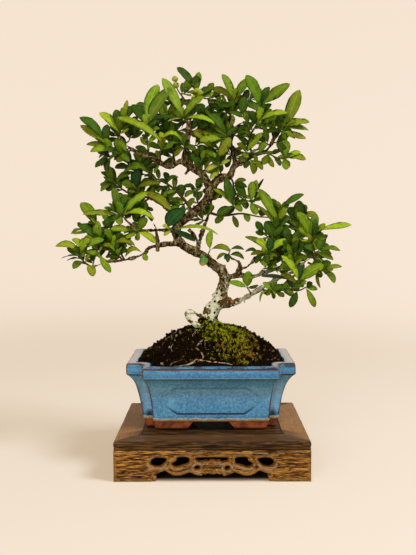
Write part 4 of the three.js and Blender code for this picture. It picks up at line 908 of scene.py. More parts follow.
def soil_surface():
    """Rings from the top of the heap out to the lining and down it to the floor, closed at both ends."""
    sizes = (POT_HALF[0] - 10.6, POT_HALF[1] - 9.2, 13)
    plan = whole_outline(pot_outline(*(np.full((1, 1), size) for size in sizes)))[0]
    spread = np.sqrt(np.linspace(0.0004, 1, 90))[:, None, None]
    flat = plan * spread
    up = mound_height(flat[..., 0], flat[..., 1])
    points = np.concatenate([flat, up[..., None]], axis=-1)
    crumbs = 0.55 * ripple(points, 5.5, 21, 24) + 0.35 * ripple(points, 2.6, 22, 24)
    points[..., 2] += crumbs * np.clip((1 - spread[..., 0]) * 30, 0, 1)
    lining = np.array([(48, 11.5, 13, 0), (30, 18, 11, 0), (15.4, 21.8, 9, 0)]) + (0, SOIL_GAP, 0, 0)
    points = np.concatenate([points, pot_rings(lining)])
    centre = points[-1:] * (0.02, 0.02, 1)
    return np.concatenate([points, centre])


def stones(places, sizes, seed):
    """Many small lumps: each a twelve-cornered ball squashed and turned its own way, as points and faces."""
    ratio = (1 + math.sqrt(5)) / 2
    ball = [(-1, ratio, 0), (1, ratio, 0), (-1, -ratio, 0), (1, -ratio, 0), (0, -1, ratio), (0, 1, ratio)]
    ball += [(0, -1, -ratio), (0, 1, -ratio), (ratio, 0, -1), (ratio, 0, 1), (-ratio, 0, -1), (-ratio, 0, 1)]
    sides = np.array([
        (0, 11, 5), (0, 5, 1), (0, 1, 7), (0, 7, 10), (0, 10, 11), (1, 5, 9), (5, 11, 4), (11, 10, 2),
        (10, 7, 6), (7, 1, 8), (3, 9, 4), (3, 4, 2), (3, 2, 6), (3, 6, 8), (3, 8, 9), (4, 9, 5), (2, 4, 11),
        (6, 2, 10), (8, 6, 7), (9, 8, 1),
    ])
    draw = np.random.default_rng(seed)
    count = len(places)
    turns, _ = np.linalg.qr(draw.normal(size=(count, 3, 3)))
    turns[np.linalg.det(turns) < 0, :, 0] *= -1
    squash = draw.uniform(0.45, 1.3, (count, 1, 3)) * draw.uniform(0.8, 1.2, (count, 12, 1))
    lumps = np.array(ball) / 1.9 * squash * np.asarray(sizes)[:, None, None] / 2
    points = np.einsum("nij,nkj->nki", turns, lumps) + np.asarray(places)[:, None]
    faces = sides[None] + 12 * np.arange(count)[:, None, None]
    return points.reshape(-1, 3), faces.reshape(-1, 3)


def crumbly(place, value):
    """Near-black humus with brown crumbs, and orange bits of bark by the number kept at each grain."""
    crumb = place.noise(900, 4, 0.7)
    colour = crumb.ramp((0.4, SOIL["dark"]), (0.72, SOIL["brown"]))
    colour = value("tone").rise(0.6, 1.0).mix(colour, SOIL["bark"])
    colour = value("grit").mix(colour, SOIL["grit"])
    return {"Base Color": colour, "Roughness": 0.9 - crumb * 0.2, "height": (crumb, 0.0012)}


draw = np.random.default_rng(GRAINS["seed"])
spots = draw.uniform(-1, 1, (GRAINS["count"], 2)) * GRAINS["reach"]
spots = spots[(np.abs(spots / GRAINS["reach"]) ** 5).sum(axis=1) < 1]
sizes = GRAINS["size"] * draw.lognormal(0, 0.48, len(spots)).clip(0.4, 3.0)
heights = mound_height(spots[:, 0], spots[:, 1]) + draw.uniform(-0.4, 0.75, len(spots)) * sizes * 0.6 + 0.2
grain_points, grain_faces = stones(np.column_stack([spots, heights]), sizes, 9)
tones = draw.uniform(0, 1, len(spots)) ** 2.4
grits = (draw.uniform(0, 1, len(spots)) > 0.975).astype(float)

heap = soil_surface()
heap_count = heap[..., 0].size
top = list(range(heap.shape[1]))
bottom = list(range(heap_count - heap.shape[1], heap_count))[::-1]
heap_faces = [grid_faces(*heap.shape[:2], around=True)[:, ::-1], [top], [bottom]]
soil_points, soil_faces = joined([(heap, heap_faces), (grain_points, grain_faces)])
soil = build(
    "potting_soil", soil_points * MM + POT_ORIGIN, soil_faces, smooth=60,
    tone=np.concatenate([np.zeros(heap_count), np.repeat(tones, 12)]),
    grit=np.concatenate([np.zeros(heap_count), np.repeat(grits, 12)]),
)
soil.data.materials.append(surface("dark_crumbly_soil", crumbly, Specular_IOR_Level=0.02))
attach(soil, "root")
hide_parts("soil")

# Moss: a low cushion of pointed shoots on the right of the heap and up to the trunk, bright green where
# it is fresh and lit on the tufts, dark between them as painted shade, with rusty old shoots. Thinner at
# its border, with a few tufts beyond it.
MOSS = {"shoots": 6600, "stray": 450, "long": (1.1, 2.9), "thick": 0.6, "sunk": 0.6, "seed": 31}
MOSS_PATCH = [
    (-15, -4), (-13, -12), (-6, -19), (-2, -25), (3, -31), (7, -39), (15, -43), (27, -43), (35, -38),
    (39, -29), (38, -18), (32, -8), (24, 1), (14, 5), (6, 12), (-8, 10),
]
MOSS_COLOURS = {
    "fresh": (0.62, 0.68, 0.015), "green": (0.062, 0.100, 0.002), "dark": (0.0015, 0.0025, 0.0003),
    "rust": (0.62, 0.30, 0.04),
}


def shoots(feet, ways, lengths, thick):
    """Three-sided spikes, from their feet along their directions: three low corners and one tip each."""
    draw = np.random.default_rng(5)
    across = np.cross(ways, draw.normal(size=ways.shape))
    across /= np.linalg.norm(across, axis=1)[:, None]
    third = np.cross(ways, across)
    turn = np.array([0, 2, 4]) * math.pi / 3
    out = np.cos(turn)[:, None] * across[:, None] + np.sin(turn)[:, None] * third[:, None]
    ring = feet[:, None] + thick * out
    tips = (feet + ways * lengths[:, None])[:, None]
    points = np.concatenate([ring, tips], axis=1)
    sides = np.array([(0, 1, 3), (1, 2, 3), (2, 0, 3), (0, 2, 1)])
    return points, (sides[None] + 4 * np.arange(len(feet))[:, None, None]).reshape(-1, 3)


draw = np.random.default_rng(MOSS["seed"])
border = curve(MOSS_PATCH, 4, closed=True)
feet = draw.uniform((-24, -46), (46, 12), (MOSS["shoots"] * 3, 2))
depth = 3.2 * ripple(feet, 9, 6, 20) - distance_to(feet, border)
dense = np.clip(0.10 + depth / 12 + ripple(feet, 4.6, 3, 20), 0, 1)
keep = (draw.uniform(0, 1, len(feet)) < dense) & (depth > -4)
stray = draw.uniform(0, 1, len(feet)) < 0.012
feet = feet[keep | stray][: MOSS["shoots"] + MOSS["stray"]]
tufted = ripple(feet, 3.0, 12, 24)
cushion = np.clip(-distance_to(feet, border) / 8, 0, 1) * (0.2 + 0.4 * ripple(feet, 8, 15, 20) + 0.8 * tufted)
ground = mound_height(feet[:, 0], feet[:, 1]) + cushion - MOSS["sunk"]
ways = np.column_stack([draw.normal(0, 0.55, (len(feet), 2)) + feet * (0.008, 0.014), np.ones(len(feet))])
ways /= np.linalg.norm(ways, axis=1)[:, None]
lengths = draw.uniform(*MOSS["long"], len(feet)) + MOSS["sunk"]
moss_points, moss_faces = shoots(np.column_stack([feet, ground]), ways, lengths, MOSS["thick"])
# Painted light on the moss: high and bright on the tops of the tufts, low and dark between them, as painted
# shade.
fresh = np.clip(0.36 + 0.50 * tufted + 0.2 * ripple(feet, 12, 40, 18) + draw.normal(0, 0.38, len(feet)), 0, 1)
rusty = np.clip(0.9 * ripple(feet, 3.0, 44, 24) + (feet[:, 0] - 14) / 30 - feet[:, 1] / 60 - 1.0, 0, 1)
at_tip = np.tile([0.0, 0.0, 0.0, 1.0], len(feet))


def mossy(place, value):
    """From dark at the foot of a shoot to green at its tip, and by the shoot's own numbers bright where it is
    fresh and lit, dark in painted shade between the tufts, and rusty where old.
    """
    tip = value("tip")
    dark, green, fresh = (MOSS_COLOURS[key] for key in ("dark", "green", "fresh"))
    colour = value("fresh").ramp((0.0, dark), (0.45, green), (1.0, fresh))
    colour = value("rusty").mix(colour, MOSS_COLOURS["rust"])
    colour = tip.rise(-0.12, 0.75).mix(dark, colour)
    return {"Base Color": colour, "Roughness": 0.75 - tip * 0.2}


moss = build(
    "moss", moss_points.reshape(-1, 3) * MM + POT_ORIGIN, moss_faces, smooth=60,
    fresh=np.repeat(fresh, 4), rusty=np.repeat(rusty, 4), tip=at_tip,
)
moss.data.materials.append(surface("green_moss", mossy, Specular_IOR_Level=0.02))
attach(moss, "root")

# Roots at the surface: pale woody strands that crossed the heap before the soil washed off them, and
# rootlets as thin as threads.
ROOT_PLACES = {
    "front": [
        (-36, -43, 0.9), (-29, -45.4, 1.2), (-23, -46.7, 1.5), (-19, -46.8, 1.6), (-16, -46, 1.5),
        (-14, -44.5, 1.4), (-10.5, -45, 1.2), (-4, -45.9, 1.2), (5, -46, 1.1), (13, -46, 1), (20, -46.4, 0.8),
    ],
    "middle": [
        (-4.5, -27.5, 1), (-8.5, -29.2, 1.3), (-11.7, -32, 1.3), (-12.4, -35.8, 1.1), (-10.5, -40, 1.4),
        (-8, -42, 1.4), (-7, -43.6, 1.1), (-11, -45, 1),
    ],
}
ROOT_RINGS = {"rows": 70, "sides": 10}
ROOTLETS = {"count": 22, "seed": 14, "thick": 0.42}
ROOT_WOOD = {"pale": (0.52, 0.37, 0.21), "dark": (0.16, 0.085, 0.035)}


def tubes(path, radii, sides, wobble=0.0, seed=0):
    """Round tubes along paths, all at once: paths (..., rows, 3) and radii (..., rows), as rings of points.

    Each ring lies across the path's direction; the ring's first axis is the side of the path that is
    square to one fixed direction, so rings don't twist.
    """
    ahead = np.gradient(path, axis=-2)
    ahead /= np.maximum(np.linalg.norm(ahead, axis=-1, keepdims=True), 1e-9)
    whole = path[..., -1:, :] - path[..., :1, :]
    sideways = np.abs(whole[..., 1:2]) < 0.6 * np.linalg.norm(whole, axis=-1, keepdims=True)
    fixed = np.where(sideways, (0, 1.0, 0.05), (0.1, 0, 1.0))
    one = np.cross(ahead, fixed)
    one /= np.linalg.norm(one, axis=-1, keepdims=True)
    two = np.cross(ahead, one)
    turn = np.linspace(0, 2 * math.pi, sides, endpoint=False)
    out = np.cos(turn)[:, None] * one[..., None, :] + np.sin(turn)[:, None] * two[..., None, :]
    out = radii[..., None, None] * out
    points = path[..., None, :] + out
    if wobble:
        points += wobble * out * ripple(points, 4 * radii.max(), seed)[..., None]
    return points


def tube_faces(rows, sides):
    """Faces of one closed tube: its skin and both ends."""
    first = [list(range(sides))[::-1]]
    last = [list(range((rows - 1) * sides, rows * sides))]
    return [grid_faces(rows, sides, around=True), first, last]


def on_mound(places, lift):
    """Rows of place across, place back and thickness, with their height on the heap put in."""
    x, y, thick = np.asarray(places, float).T
    return np.column_stack([x, y, mound_height(x, y) + lift, thick])


def root_bark(place, value):
    """Pale tan with darker patches where soil clings."""
    patch = place.noise(240, 4, 0.6)
    colour = patch.ramp((0.36, ROOT_WOOD["dark"]), (0.58, ROOT_WOOD["pale"]))
    return {"Base Color": colour, "Roughness": 0.8 - patch * 0.2, "height": (place.noise(900, 3), 0.0006)}


root_skin = surface("pale_root_bark", root_bark)
for name, places in ROOT_PLACES.items():
    laid = on_mound(places, 0.45)
    laid[[0, -1], 2] -= 1.2
    path = along_path(curve(laid, 8), ROOT_RINGS["rows"])
    path[:, :2] += 0.35 * np.column_stack([ripple(path[:, :3], 9, 3), ripple(path[:, :3], 9, 4)])
    radius = path[:, 3] / 2 * (1 + 0.16 * ripple(path[:, :3], 4, 6))
    points = tubes(path[:, :3], radius, ROOT_RINGS["sides"], 0.1, 3) * MM + POT_ORIGIN
    root = build(f"surface_root_{name}_strand", points, tube_faces(*ROOT_RINGS.values()))
    root.data.materials.append(root_skin)
    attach(root, "root")
    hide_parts(f"surface_root_{name}")

draw = np.random.default_rng(ROOTLETS["seed"])
strands = []
for start in draw.uniform((-50, -42), (30, -8), (ROOTLETS["count"], 2)):
    heading = draw.uniform(0, 2 * math.pi) + np.cumsum(draw.normal(0, 0.5, 9))
    steps = draw.uniform(1.0, 2.4) * np.column_stack([np.cos(heading), np.sin(heading)])
    run = curve(np.clip(start + np.cumsum(steps, axis=0), (-58, -42), (58, 40)), 4)
    up = mound_height(run[:, 0], run[:, 1]) + 0.5 + 0.5 * np.sin(np.linspace(0, 7, len(run)))
    strands.append(np.column_stack([run, up]))
strands = np.array(strands)
radii = np.broadcast_to(ROOTLETS["thick"] / 2 * np.linspace(1.2, 0.5, strands.shape[1]), strands.shape[:2])
rootlet_points, rootlet_faces = joined(
    [(loop, tube_faces(strands.shape[1], 5)) for loop in tubes(strands, radii, 5)]
)
rootlets = build("rootlets", rootlet_points * MM + POT_ORIGIN, rootlet_faces)
rootlets.data.materials.append(root_skin)
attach(rootlets, "root")

# Trunk and branches: one living piece of wood, from the flare of its roots to its finest side branches.
# Smooth pale bark low down, browner and rougher above, with the dark marks of old cuts. Each stem has
# its places and its thickness there, in millimetres from TREE_ORIGIN.
LIMBS = {
    "trunk": [
        (-3.5, 0, 71, 20), (-3.2, 0, 90, 18.2), (-2.6, 0, 99, 16.2), (-1.5, 0, 105.3, 15),
        (0.8, -0.3, 108.9, 13.6), (4, -0.8, 113.6, 12.8), (6.2, -1.2, 118, 12.4), (10, -3, 130, 11),
        (12, -4, 139, 10.5), (7, -5, 147, 9.5), (0, -6, 153, 9), (-7, -7, 159, 8.5), (-16, -8, 164, 8.5),
        (-24, -10, 168, 8.5), (-32, -12, 175, 8.5), (-35, -11, 185, 8.5), (-28, -7, 194, 8),
        (-20, -4, 200, 8), (-9, -1, 210, 8), (-3, 0, 220, 8), (0, 0, 229, 9),
    ],
    "root_loop": [
        (-2, -3, 101, 6), (-9.3, -7, 101.8, 4.3), (-13.2, -9.5, 103.6, 3.7), (-16.8, -12, 105.9, 3.7),
        (-20.4, -13.6, 107.2, 4), (-23, -14.6, 107, 4.4), (-24, -15, 104.8, 4.8), (-23.4, -15.3, 102, 4.8),
        (-21.8, -15, 99.4, 5), (-19.4, -14.5, 97, 5.2), (-16.6, -13, 94.6, 5.2), (-9, -7, 89.5, 5),
    ],
    "left_low_branch": [
        (-30, -12, 173, 7), (-42, -15, 172, 5), (-53, -18, 170, 4), (-60, -20, 168, 4), (-66, -22, 162, 3),
        (-83, -26, 157, 2.5), (-98, -29, 156, 2.4), (-108, -31, 152, 2), (-116, -32, 149, 1.7),
    ],
    "left_middle_branch": [
        (-33, -11, 185, 5), (-45, -13, 185, 3.5), (-52, -14, 185, 3), (-68, -17, 185, 2.9),
        (-77, -20, 191, 2.7), (-83, -22, 197, 2.3),
    ],
    "left_back_branch": [
        (-27, -6, 195, 4), (-42, 0, 204, 2.6), (-53, 5, 212, 2.5), (-61, 9, 216, 2.3), (-75, 14, 220, 2),
        (-86, 17, 223, 1.8),
    ],
    "upper_left_branch": [
        (-3, 0, 226, 7.5), (-8, -1, 237, 7), (-18, -3, 244, 7), (-27, -5, 250, 7.5), (-35, -7, 248, 5),
        (-42, -8, 246, 6.5), (-51, -10, 250, 6), (-60, -12, 254, 5), (-75, -15, 260.4, 3.6),
        (-81, -17, 266, 2.1), (-87, -19, 272, 1.7),
    ],
    "apex_leader": [(-27, -5, 249, 6.5), (-24, -9, 268, 5.2), (-22, -12, 282, 4.6), (-25, -15, 288, 3.2)],
    "upper_right_branch": [
        (-1, 0, 226, 8), (7, 1, 234, 8), (17, 2, 237, 7.2), (21, 3, 246, 6.2), (30, 2, 251, 6),
        (38, 1, 256, 5), (51, -2, 260, 3.8), (58, -5, 270, 3), (61, -8, 280, 1.7),
    ],
    "back_leader": [(23, 3, 247, 5.5), (18, 7, 271, 4.4), (21, 9, 281, 3.8), (16, 11, 293, 2.5)],
    "middle_back_branch": [
        (-15, -7, 165, 5), (-8, 9, 188, 4), (-5, 12, 196, 3.5), (-3, 14, 203, 2.9), (-1, 15, 214, 2),
    ],
    "right_middle_branch": [
        (11, -4, 138, 8), (17, 0, 140, 6.5), (28, 6, 141, 5.5), (38, 10, 139, 4.5), (50, 14, 142, 4),
        (59, 16, 145, 4), (70, 18, 150, 3), (80, 18, 160, 2.6), (89, 16, 171, 2),
    ],
    "right_middle_spur": [
        (25, 5, 141, 8), (26.5, 5, 147, 6), (26.5, 4, 152, 3.4), (23, 3, 155.5, 2.4), (18, 2, 157.5, 1.8),
    ],
    "right_middle_fork": [(29, 5, 147, 3.5), (34, 6, 149, 3), (42, 6, 157, 2.8), (46, 5, 162, 2.2)],
    "right_low_branch": [
        (7, -1, 112, 9), (14, -6, 113.4, 7), (25, -14, 117.4, 5.2), (35, -21, 123.6, 4.5),
        (46, -28, 131, 4.4), (54, -33, 136.6, 4), (60.5, -36, 139.8, 3.5), (72, -39, 146.2, 2.8),
        (83.5, -41, 155, 2.2), (92, -42, 161, 1.8),
    ],
    "low_pruned_knob": [(5, -3, 115, 7), (14.5, -6, 121.5, 5.5)],
    "cut_knot": [(12, -5, 114, 9), (17.5, -10, 118, 6.2)],
    "bump_below_bend": [(4, -1, 120, 8), (0.6, -3, 122.8, 4.6)],
    "stub_on_bend": [(-33, -12, 178, 5), (-38, -15, 181, 2.4)],
    "stub_on_upper_trunk": [(-14, -2, 205, 4.5), (-18, -6, 208, 2.2)],
    "thorn_low_right": [(29, -17, 119, 3.4), (30.6, -20.5, 115.6, 1.5)],
    "thorn_right_middle": [(47, 13, 142, 3), (50, 9, 147, 1)],
    "spur_on_bend": [(9.5, -5, 144, 6.5), (11.4, -7, 149.8, 3.2), (12, -7.5, 151.6, 1.6)],
    "stub_under_fork": [(-21, -4, 244, 4), (-26, -8, 238, 1.9)],
    "brown_knot": [(-15, -7, 165, 2.9), (-15, -3, 176, 3.5), (-23, -5, 186, 3.5)],
    "dead_stick": [
        (-52, -21, 165, 4), (-51.5, -22, 174, 4.2), (-52, -23, 180, 3), (-52.5, -23, 186, 2.6),
        (-55, -25, 192, 1.7),
    ],
    "back_leader_spur": [(20, 8, 281, 2.4), (30, 4, 289, 1.4)],
    "left_middle_spur": [(-75, -19, 189, 2.3), (-78, -22, 184, 1.7)],
}

# The flare of the roots: three places of each, and how thick it starts and ends.
FLARE = [
    ((0, 0, 88), (-9, -6, 84), (-17, -10, 76), 11, 4), ((1, 0, 88), (9, -5, 84), (17, -9, 77), 11, 4),
    ((1, -1, 88), (1, -9, 83), (3, -17, 76), 11, 4), ((0, 2, 88), (-6, 9, 83), (-11, 16, 76), 10, 4),
    ((2, 2, 88), (8, 8, 83), (14, 13, 76), 10, 4),
]
WOOD_VOXEL = 0.62
# Dark round marks of old buds and cuts at the front: place across, place up and radius.
MARKS = [
    (2.1, 116.1, 1.25), (6.0, 115.8, 1.1), (3.9, 124.2, 1.2), (4.4, 127.4, 0.9), (6.2, 129.8, 0.8),
    (2.0, 105.4, 1.1), (-4.1, 101, 1.3), (2.2, 120.6, 0.7), (8.6, 121.6, 0.9), (12.9, 148.3, 1.0),
]
MORE_MARKS = {"count": 70, "seed": 77, "top": 155}
CUT_FACE = {"at": (17.6, -14.5, 118.2), "radius": 1.8}
# Brown weathered patches at the front: place across, place up, half width and half height.
STAINS = [
    (13.5, 114.6, 6.5, 5), (-7.0, 106.8, 4.4, 2.8), (5, 99.5, 4, 2), (21, 118.5, 4, 2.2),
    (-14, 103.5, 3, 1.8), (-21.5, 98, 2.6, 1.6), (11.5, 122.5, 3, 2.2), (-11, 100.2, 2.4, 2),
]
BARK = {
    "pale": (0.87, 0.84, 0.58), "grey": (0.30, 0.24, 0.105), "brown": (0.10, 0.050, 0.009),
    "dark": (0.010, 0.005, 0.0015), "cut": (0.62, 0.20, 0.055), "limb": (0.38, 0.33, 0.175),
    "old": (0.40, 0.35, 0.20),
}
# The tree stands 1.8 mm to the right and 2.1 mm lower than in the solids, where the photo has it.
TREE_ORIGIN = POT_ORIGIN + np.array((1.8, 0, -2.1)) * MM


def stem_tube(places, rows, sides):
    """A closed tube along the smooth curve through a stem's places, as thick as they say."""
    path = along_path(curve(places, 10), rows, 3)
    return tubes(path[:, :3], path[:, 3] / 2, sides)


def remeshed(name, points, faces, voxel):
    """Joins closed shapes that run into each other into one skin of small quads, smoothed a little."""
    raw = build(name + "_raw", points * MM, faces)
    join = raw.modifiers.new("join", "REMESH")
    join.mode, join.voxel_size = "VOXEL", voxel * MM
    soft = raw.modifiers.new("soft", "SMOOTH")
    soft.factor, soft.iterations = 0.5, 3
    made = raw.evaluated_get(bpy.context.evaluated_depsgraph_get()).to_mesh()
    count = len(made.vertices)
    places, ways = np.empty(count * 3), np.empty(count * 3)
    made.vertices.foreach_get("co", places)
    made.vertices.foreach_get("normal", ways)
    corners = np.empty(len(made.loops), dtype=np.int32)
    made.loops.foreach_get("vertex_index", corners)
    bpy.data.objects.remove(raw, do_unlink=True)
    return places.reshape(-1, 3) / MM, ways.reshape(-1, 3), corners.reshape(-1, 4)


stem_parts = []
for places in LIMBS.values():
    table = np.array(places, float)
    length = np.linalg.norm(np.diff(table[:, :3], axis=0), axis=1).sum()
    rows = max(8, int(length / 1.1))
    sides = 20 if table[0, 3] > 9 else 12
    stem_parts.append((stem_tube(table, rows, sides), tube_faces(rows, sides)))
for first, middle, last, thick, thin in FLARE:
    table = [(*first, thick), (*middle, (thick + thin) / 2), (*last, thin)]
    stem_parts.append((stem_tube(table, 16, 14), tube_faces(16, 14)))
stem_points, stem_faces = joined(stem_parts)
bark_points, bark_ways, bark_faces = remeshed("wood", stem_points, stem_faces, WOOD_VOXEL)

slow, fast = ripple(bark_points, 13, 61, 24), ripple(bark_points, 4.2, 62, 24)
crackle = np.abs(ripple(bark_points * (1, 1, 0.7), 2.6, 63, 24))
low = np.clip((150 - bark_points[:, 2]) / 40, 0, 1)
draw = np.random.default_rng(MORE_MARKS["seed"])
below = np.flatnonzero(bark_points[:, 2] < MORE_MARKS["top"])
others = bark_points[draw.choice(below, MORE_MARKS["count"], replace=False)]
places = [(*other, draw.uniform(0.5, 1.15)) for other in others if other[1] > -5]
front = bark_points[bark_points[:, 1] < -2]
for x, z, radius in MARKS:
    near = np.argmin(np.hypot(front[:, 0] - x, front[:, 2] - z) + 0.05 * front[:, 1])
    places.append((*front[near], radius))
marks = np.zeros(len(bark_points))
for x, y, z, radius in places:
    away = np.linalg.norm(bark_points - (x, y, z), axis=1)
    marks = np.maximum(marks, np.clip(1.5 - away / radius, 0, 1))
cut_at = bark_points[np.argmin(np.linalg.norm(bark_points - CUT_FACE["at"], axis=1))]
cut = np.clip(1.6 - np.linalg.norm(bark_points - cut_at, axis=1) / CUT_FACE["radius"], 0, 1)
stains = np.zeros(len(bark_points))
for x, z, wide, high in STAINS:
    away = np.hypot((bark_points[:, 0] - x) / wide, (bark_points[:, 2] - z) / high)
    stains = np.maximum(stains, np.clip(1.6 - away, 0, 1) * (bark_points[:, 1] < 1))
stains = np.clip(stains * (1.1 + 0.45 * ripple(bark_points, 3.4, 64, 24)), 0, 1)
relief = 0.32 * slow + 0.2 * fast + (0.16 - 0.36 * crackle) * (1 - 0.8 * low) - 0.35 * marks
bark_points = bark_points + bark_ways * relief[:, None]
low_trunk = bark_points[:, 2] < 100
bark_points[low_trunk, 2] = np.maximum(bark_points[low_trunk, 2], 72)


def barky(place, value):
    """Pale smooth bark low down, with dark round marks; cracked brown and black bark above."""
    height = place.node("SeparateXYZ", {"Vector": place}, out="Z") * 1000 - POT_ORIGIN[2] * 1000
    cloud = place.noise(130, 3, 0.6)
    fine = place.noise(700, 4, 0.7)
    cracks = place.stretched((1, 1, 0.6)).noise(330, 4, 0.7, 1.2)
    low = height.rise(150, 118)
    rough = (cloud - 0.5) * 0.35 + (cracks - 0.5) * 0.95 + (fine - 0.5) * 0.35 + 0.52 - low * 0.05
    old = low.mix(BARK["old"], BARK["pale"])
    worn = rough.ramp((0.44, BARK["grey"]), (0.52, BARK["brown"]), (0.62, BARK["dark"]))
    aged = rough.rise(0.36, 0.46).mix(old, worn)
    smooth = (fine * 0.5 + cloud * 0.5).ramp((0.36, BARK["grey"]), (0.46, BARK["pale"]))
    patch = (place.noise(95, 3, 0.65, 0.5) - height.rise(117, 141) * 0.2).rise(0.40, 0.45)
    patch = patch * height.rise(150, 138)
    colour = patch.mix(aged, smooth)
    across = place.node("SeparateXYZ", {"Vector": place}, out="X") * 1000
    limb = across.rise(27, 44) * (height - across * 0.7).rise(103.5, 101.5)
    limb = limb * place.noise(180, 4, 0.65).rise(0.60, 0.5)
    colour = (limb * 0.85).mix(colour, BARK["limb"])
    weathered = cracks * 0.6 + fine * 0.4
    weathered = weathered.ramp((0.34, BARK["dark"]), (0.47, BARK["brown"]), (0.62, BARK["grey"]))
    colour = value("stain").rise(0.28, 0.5).mix(colour, weathered)
    colour = value("mark").rise(0.25, 0.6).mix(colour, BARK["dark"])
    colour = value("cut").rise(0.02, 0.2).mix(colour, BARK["dark"])
    colour = value("cut").rise(0.35, 0.6).mix(colour, BARK["cut"])
    shade = cracks * 0.7 + fine * 0.3
    return {"Base Color": colour, "Roughness": 0.9 - patch * 0.2, "height": (1 - shade, 0.0015)}


wood = build(
    "trunk_with_branches", bark_points * MM + TREE_ORIGIN, bark_faces, mark=marks, cut=cut, stain=stains,
)
wood.data.materials.append(surface("firethorn_bark", barky, Specular_IOR_Level=0.04))
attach(wood, "root")
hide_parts("trunk_and_branches")

